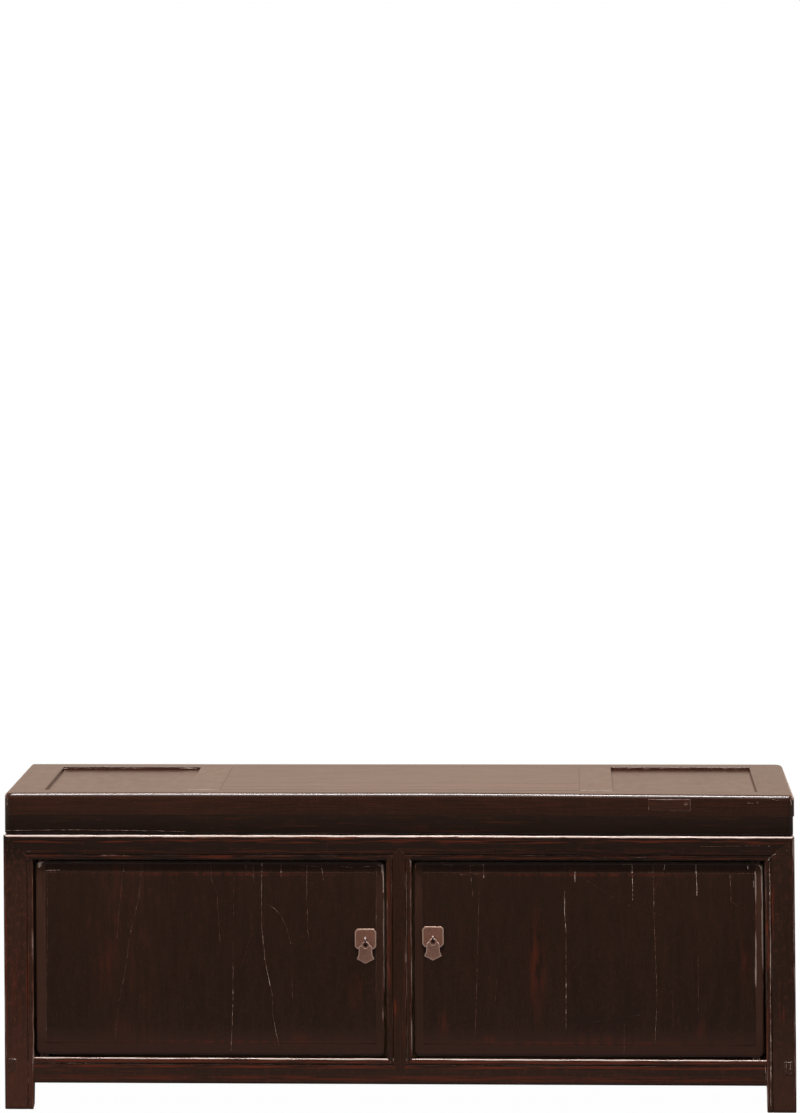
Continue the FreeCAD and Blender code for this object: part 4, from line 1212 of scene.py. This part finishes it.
def ribbon(shape, layer, width, path, face):
    """Adds one ribbon along a path of (x, z) to a shape, on a face whose y the function gives."""
    last = None
    for index, point in enumerate(path):
        way = (path[min(index + 1, len(path) - 1)] - path[max(index - 1, 0)]).normalized()
        across = Vector((way.y, -way.x))
        swing = noise.noise(Vector((point.x * 0.09, point.y * 0.09, width))) * ribbon_swing
        swelling = 0.5 + 2 * abs(noise.noise(Vector((point.x * 0.2, point.y * 0.2, 7))))
        half = (0.1 + 0.3 * width) * swelling
        pair = []
        for side in side_names:
            x, z = point + across * swing + across * half * side
            vertex = shape.verts.new((x, face(x, z) - ribbon_proud, z))
            vertex[layer] = width
            pair.append(vertex)
        if last:
            shape.faces.new((last[0], last[1], pair[1], pair[0]))
        last = pair


def ribbons(name, lines, depth, face):
    """Cracks or strokes as thin ribbons on a face, whose y the function gives at x, z."""
    shape = bmesh.new()
    layer = shape.verts.layers.float.new("edge")
    for width, *numbers in lines:
        line = [Vector(seen(across, down, depth)) for across, down in zip(numbers[::2], numbers[1::2])]
        path = []
        for start, end in zip(line, line[1:]):
            steps = max(int((end - start).length / ribbon_step), 1)
            path += [start.lerp(end, step / steps) for step in range(steps)]
        ribbon(shape, layer, width, path + [line[-1]], face)
    return to_object(name, shape)


def crack_and_highlight_look():
    """Bare wood in a crack or stroke, the paler the wider the ribbon; the palest stand in for painted highlights.
    """
    look = Look("look_cracks_and_highlights")
    bright = (look.edge() - 0.2) * 2.2 + (look.noise((90, 90, 90), 3, 0.7) - 0.5) * 2.4
    colour = look.blend(look.step(bright, -0.1, 0.3), shade(dark_door, 1.1), crack_brown)
    colour = look.blend(look.step(bright, 0.3, 1.1), colour, crack_pale_and_highlight)
    return look.finish(Base_Color=colour, Roughness=0.5, Specular_IOR_Level=0.3)


crack_and_highlight_material = crack_and_highlight_look()
strokes = [(side_name + "door_cracks", cracks_and_highlights[side], door_front, door_face, side_name + "door", "door_lacquer")
           for side, side_name in side_names.items()]
strokes += [
    ("frame_strokes", frame_strokes, front, lambda x, z: front + 0.09, "carcass", "frame_lacquer"),
    ("upper_strokes", upper_strokes, upper_front, lambda x, z: upper_front + 0.05, "carcass", "top_lacquer"),
    ("wall_strokes", wall_strokes, frame_back, lambda x, z: frame_back, "carcass", "top_lacquer")]
for name, lines, depth, face, body, slot in strokes:
    piece = ribbons(name, lines, depth, face)
    piece.data.materials.append(crack_and_highlight_material)
    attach(piece, body)


# Pulls

def inset(points, amount):
    """Closed outline drawn in by an amount."""
    drawn = []
    for index, point in enumerate(points):
        before = (point - points[index - 1]).normalized()
        after = (points[(index + 1) % len(points)] - point).normalized()
        across = Vector((-before.y, before.x))
        normal = (across + Vector((-after.y, after.x))).normalized()
        drawn.append(point + normal * amount / max(normal.dot(across), 0.5))
    return drawn


def divided(points, longest):
    """Closed outline with points added so that no side is longer than that."""
    result = []
    for index, point in enumerate(points):
        following = points[(index + 1) % len(points)]
        steps = max(int(math.ceil((following - point).length / longest)), 1)
        result += [point.lerp(following, step / steps) for step in range(steps)]
    return result


def pierced(name, outline, centre, hole, back, face, bevel, rim, hole_worn, wave):
    """A flat plate with a hole, bevelled round both, with its rim marked as worn.

    The outline runs anticlockwise in the front view, and back and face are y.
    """
    angles = [math.atan2(point.y - centre.y, point.x - centre.x) for point in outline]

    def circle(radius):
        return [centre + Vector((math.cos(angle), math.sin(angle))) * radius for angle in angles]

    rings = [(outline, back, 0.3), (outline, face + bevel, 0.9)]
    rings += [(inset(outline, bevel + away), face, edge) for away, edge in rim]
    rings += [(circle(hole + bevel + away * 0.7), face, edge * hole_worn) for away, edge in reversed(rim)]
    rings += [(circle(hole), face + bevel, 0.6 * hole_worn), (circle(hole), back, 0.0)]
    rows = [[(Vector((point.x, y, point.y)), edge) for point in points] for points, y, edge in rings]
    return rows_to_mesh(name, rows, wave, pierced=True)


def eye_at(side):
    """x and z of the middle of a pull's eye."""
    x0, x1, y0, y1, z0, z1 = box_of(side_names[side] + "pull_pin")
    return Vector(((x0 + x1) / 2, (z0 + z1) / 2 + pin_rise[side]))


def pull_plate(side):
    x0, x1, y0, y1, z0, z1 = box_of(side_names[side] + "pull_plate")
    across, up = plate_cant
    z0 += plate_rise
    outline = [(x0 + across, z0), (x1 - across, z0), (x1, z0 + up), (x1, z1 - up), (x1 - across, z1),
               (x0 + across, z1), (x0, z1 - up), (x0, z0 + up)]
    outline = divided([Vector(point) for point in outline], 1.6)
    return pierced("plate", outline, eye_at(side), plate_hole, y1, y0, plate_bevel, plate_rim, 0, waviness)


def pull_tag(side):
    x0, x1, y0, y1, z0, z1 = box_of(side_names[side] + "pull_tag")
    centre = Vector(((x0 + x1) / 2, z1 - tag_head + pin_rise[side]))
    corners = []
    for turn in range(12, 169, 12):
        angle = math.radians(turn)
        corners.append((tag_head * math.cos(angle), tag_head * math.sin(angle), 0, 0))
    corners += [(-u, v, radius, 0) for u, v, radius in tag_corners]
    corners += [(0, -tag_length, tag_tip, 0)]
    corners += [(u, v, radius, 0) for u, v, radius in reversed(tag_corners)]
    outline = [centre + Vector(point[:2]) for point in rounded(corners, 5)]
    return pierced("tag", divided(outline, 1.2), centre, tag_hole, y1, y0, tag_bevel, tag_rim, 1, 0.08)


def pull_pin(side):
    """One bent strip: an eye in front, and two legs that pass through the door and are turned out behind."""
    x0, x1, y0, y1, z0, z1 = box_of(side_names[side] + "pull_pin")
    tag_front, tag_back = box_of(side_names[side] + "pull_tag")[2:4]
    middle_x, eye_z = eye_at(side)
    eye_y = (tag_front + tag_back) / 2
    half = strip_thickness / 2
    eye_radius = eye_y - y0 - half
    turned = half + strip_clearance + strip_bend
    neck = math.asin(turned / (eye_radius + strip_bend))
    path = []
    for step in range(25):
        turn = math.radians(-90) + (math.radians(180) - neck) * (step / 24)
        path.append(Vector((eye_y + eye_radius * math.sin(turn), eye_radius * math.cos(turn))))
    neck_y = eye_y + (eye_radius + strip_bend) * math.cos(neck)
    for step in range(5):
        turn = (math.pi / 2 - neck) * (1 - step / 4)
        path.append(Vector((neck_y - strip_bend * math.sin(turn), turned - strip_bend * math.cos(turn))))
    for step in range(7):
        turn = math.radians(15 * step)
        bent = y1 - half - strip_bend + strip_bend * math.sin(turn)
        path.append(Vector((bent, turned - strip_bend * math.cos(turn))))
    path.append(Vector((y1 - half, (z1 - z0) / 2)))
    path = [Vector((point.x, -point.y)) for point in reversed(path[1:])] + path
    rows = []
    for index, point in enumerate(path):
        way = (path[min(index + 1, len(path) - 1)] - path[max(index - 1, 0)]).normalized()
        out = Vector((-way.y, way.x))
        row = []
        for across, height in strip_section:
            place = point + out * height * half
            row.append((Vector((middle_x + across * (x1 - x0) / 2, place.x, eye_z + place.y)), 0.5))
        rows.append(row)
    return rows_to_mesh("pin", rows, 0)


plate_front = box_of("left_pull_plate")[2]
# Painted shade on the plates and pins behind the tags' holes, since the tags cast no shadow
eye_painted_shade = marks(plate_front, (365.5, 944.5, 4.5, 5.5, 0.9), (433.0, 940.5, 4.5, 5.5, 0.9))
pin_painted_shade = marks(plate_front, (365.5, 944, 4, 4, 0.9), (433.0, 940, 4, 4, 0.9))
plate_metal = aged_metal("plate_metal", linear(134, 92, 76), linear(178, 148, 132), 0.0, eye_painted_shade)
tag_metal = aged_metal("tag_metal", linear(140, 102, 87), linear(178, 148, 134), 3.0)
pin_metal = aged_metal("pin_metal", linear(98, 86, 80), linear(112, 98, 92), 5.0, pin_painted_shade)
for side, side_name in side_names.items():
    settle(pull_plate(side), side_name + "pull_plate", plate_metal)
    settle(pull_tag(side), side_name + "pull_tag", tag_metal).visible_shadow = False
    settle(pull_pin(side), side_name + "pull_pin", pin_metal)

for node, thing in frame["nodes"].items():
    if not thing.hide_render:
        thing.data.materials.clear()
        thing.data.materials.append(finish_of(node))


# Light, floor and view, in metres

def area_light(name, place, size, towards, power, mirrored=True):
    light = bpy.data.lights.new(name, "AREA")
    light.shape = "RECTANGLE"
    light.size, light.size_y = size
    light.energy = power
    lamp = bpy.data.objects.new(name, light)
    lamp.location = place
    lamp.visible_glossy = mirrored
    lamp.rotation_euler = (Vector(towards) - Vector(place)).to_track_quat("-Z", "Y").to_euler()
    bpy.context.scene.collection.objects.link(lamp)


area_light("overhead", (0, -0.56, 2.3), (2.4, 0.35), (0, -0.2, 0.3), 178)
area_light("front_fill", (-0.6, -2.6, 3.0), (3.6, 2.0), (0, -0.1, 0.2), 48)
area_light("left_fill", (-2.8, -1.6, 0.7), (1.4, 1.2), (0, -0.1, 0.2), 14, False)
area_light("right_fill", (2.8, -1.6, 0.5), (1.4, 1.0), (-0.2, -0.1, 0.15), 14, False)
area_light("inside_fill", (0, -0.1, 0.2), (0.9, 0.2), (0, 0.2, 0.2), 0.18, False)

# A dark floor that the camera sees as white, apart from a faint shadow under the cabinet
floor_mesh = bpy.data.meshes.new("floor")
floor_mesh.from_pydata([(-3, -1.1, 0), (3, -1.1, 0), (3, 3, 0), (-3, 3, 0)], [], [(0, 1, 2, 3)])
floor = bpy.data.objects.new("floor", floor_mesh)
bpy.context.scene.collection.objects.link(floor)
look = Look("floor")
far = look.math("SQRT", look.x * 0.6 * look.x * 0.6 + look.y * look.y)
white_share = look.range(look.step(far, 0.30, 0.7), 0.985, 1.0)
from_camera = look.value("ShaderNodeLightPath", out="Is Camera Ray")
glow = look.value("ShaderNodeEmission")
mixed = look.value("ShaderNodeMixShader", from_camera * white_share, look.surface, glow)
look.put(look.output.inputs["Surface"], mixed)
floor_mesh.materials.append(look.finish(Base_Color=(0.04, 0.04, 0.04), Roughness=0.9, Specular_IOR_Level=0.0))

# The camera sees a white world; the lacquer mirrors a pale brown room behind, grey sides and a dark front
world = bpy.data.worlds.new("studio")
world.use_nodes = True
bpy.context.scene.world = world
room = Nodes(world.node_tree)
toward_x, toward_y, _ = room.parts(room.value("ShaderNodeTexCoord", out="Generated"))
walls = room.blend(room.share(toward_y, 0.1, 0.8), (0.05, 0.05, 0.05), (0.635, 0.49, 0.39))
walls = room.blend(room.share(abs(toward_x), 0.6, 0.95), walls, (0.3, 0.285, 0.28))
from_camera = room.value("ShaderNodeLightPath", out="Is Camera Ray")
white = room.value("ShaderNodeBackground", (1, 1, 1))
mixed = room.value("ShaderNodeMixShader", from_camera, room.value("ShaderNodeBackground", walls), white)
room.node("ShaderNodeOutputWorld", mixed)

camera_data = bpy.data.cameras.new("camera")
camera_data.sensor_width = sensor
camera_data.lens = sensor * photo_focus / photo_size[1]
camera_data.shift_x = (photo_size[0] / 2 - photo_centre[0]) / photo_size[1]
camera_data.shift_y = (photo_centre[1] - photo_size[1] / 2) / photo_size[1]
camera_data.clip_end = 100
camera = bpy.data.objects.new("camera", camera_data)
camera.matrix_world = Matrix.Translation(Vector(eye) * metre) @ view_turn.to_4x4()
bpy.context.scene.collection.objects.link(camera)
bpy.context.scene.camera = camera
bpy.context.scene.view_settings.view_transform = "Standard"
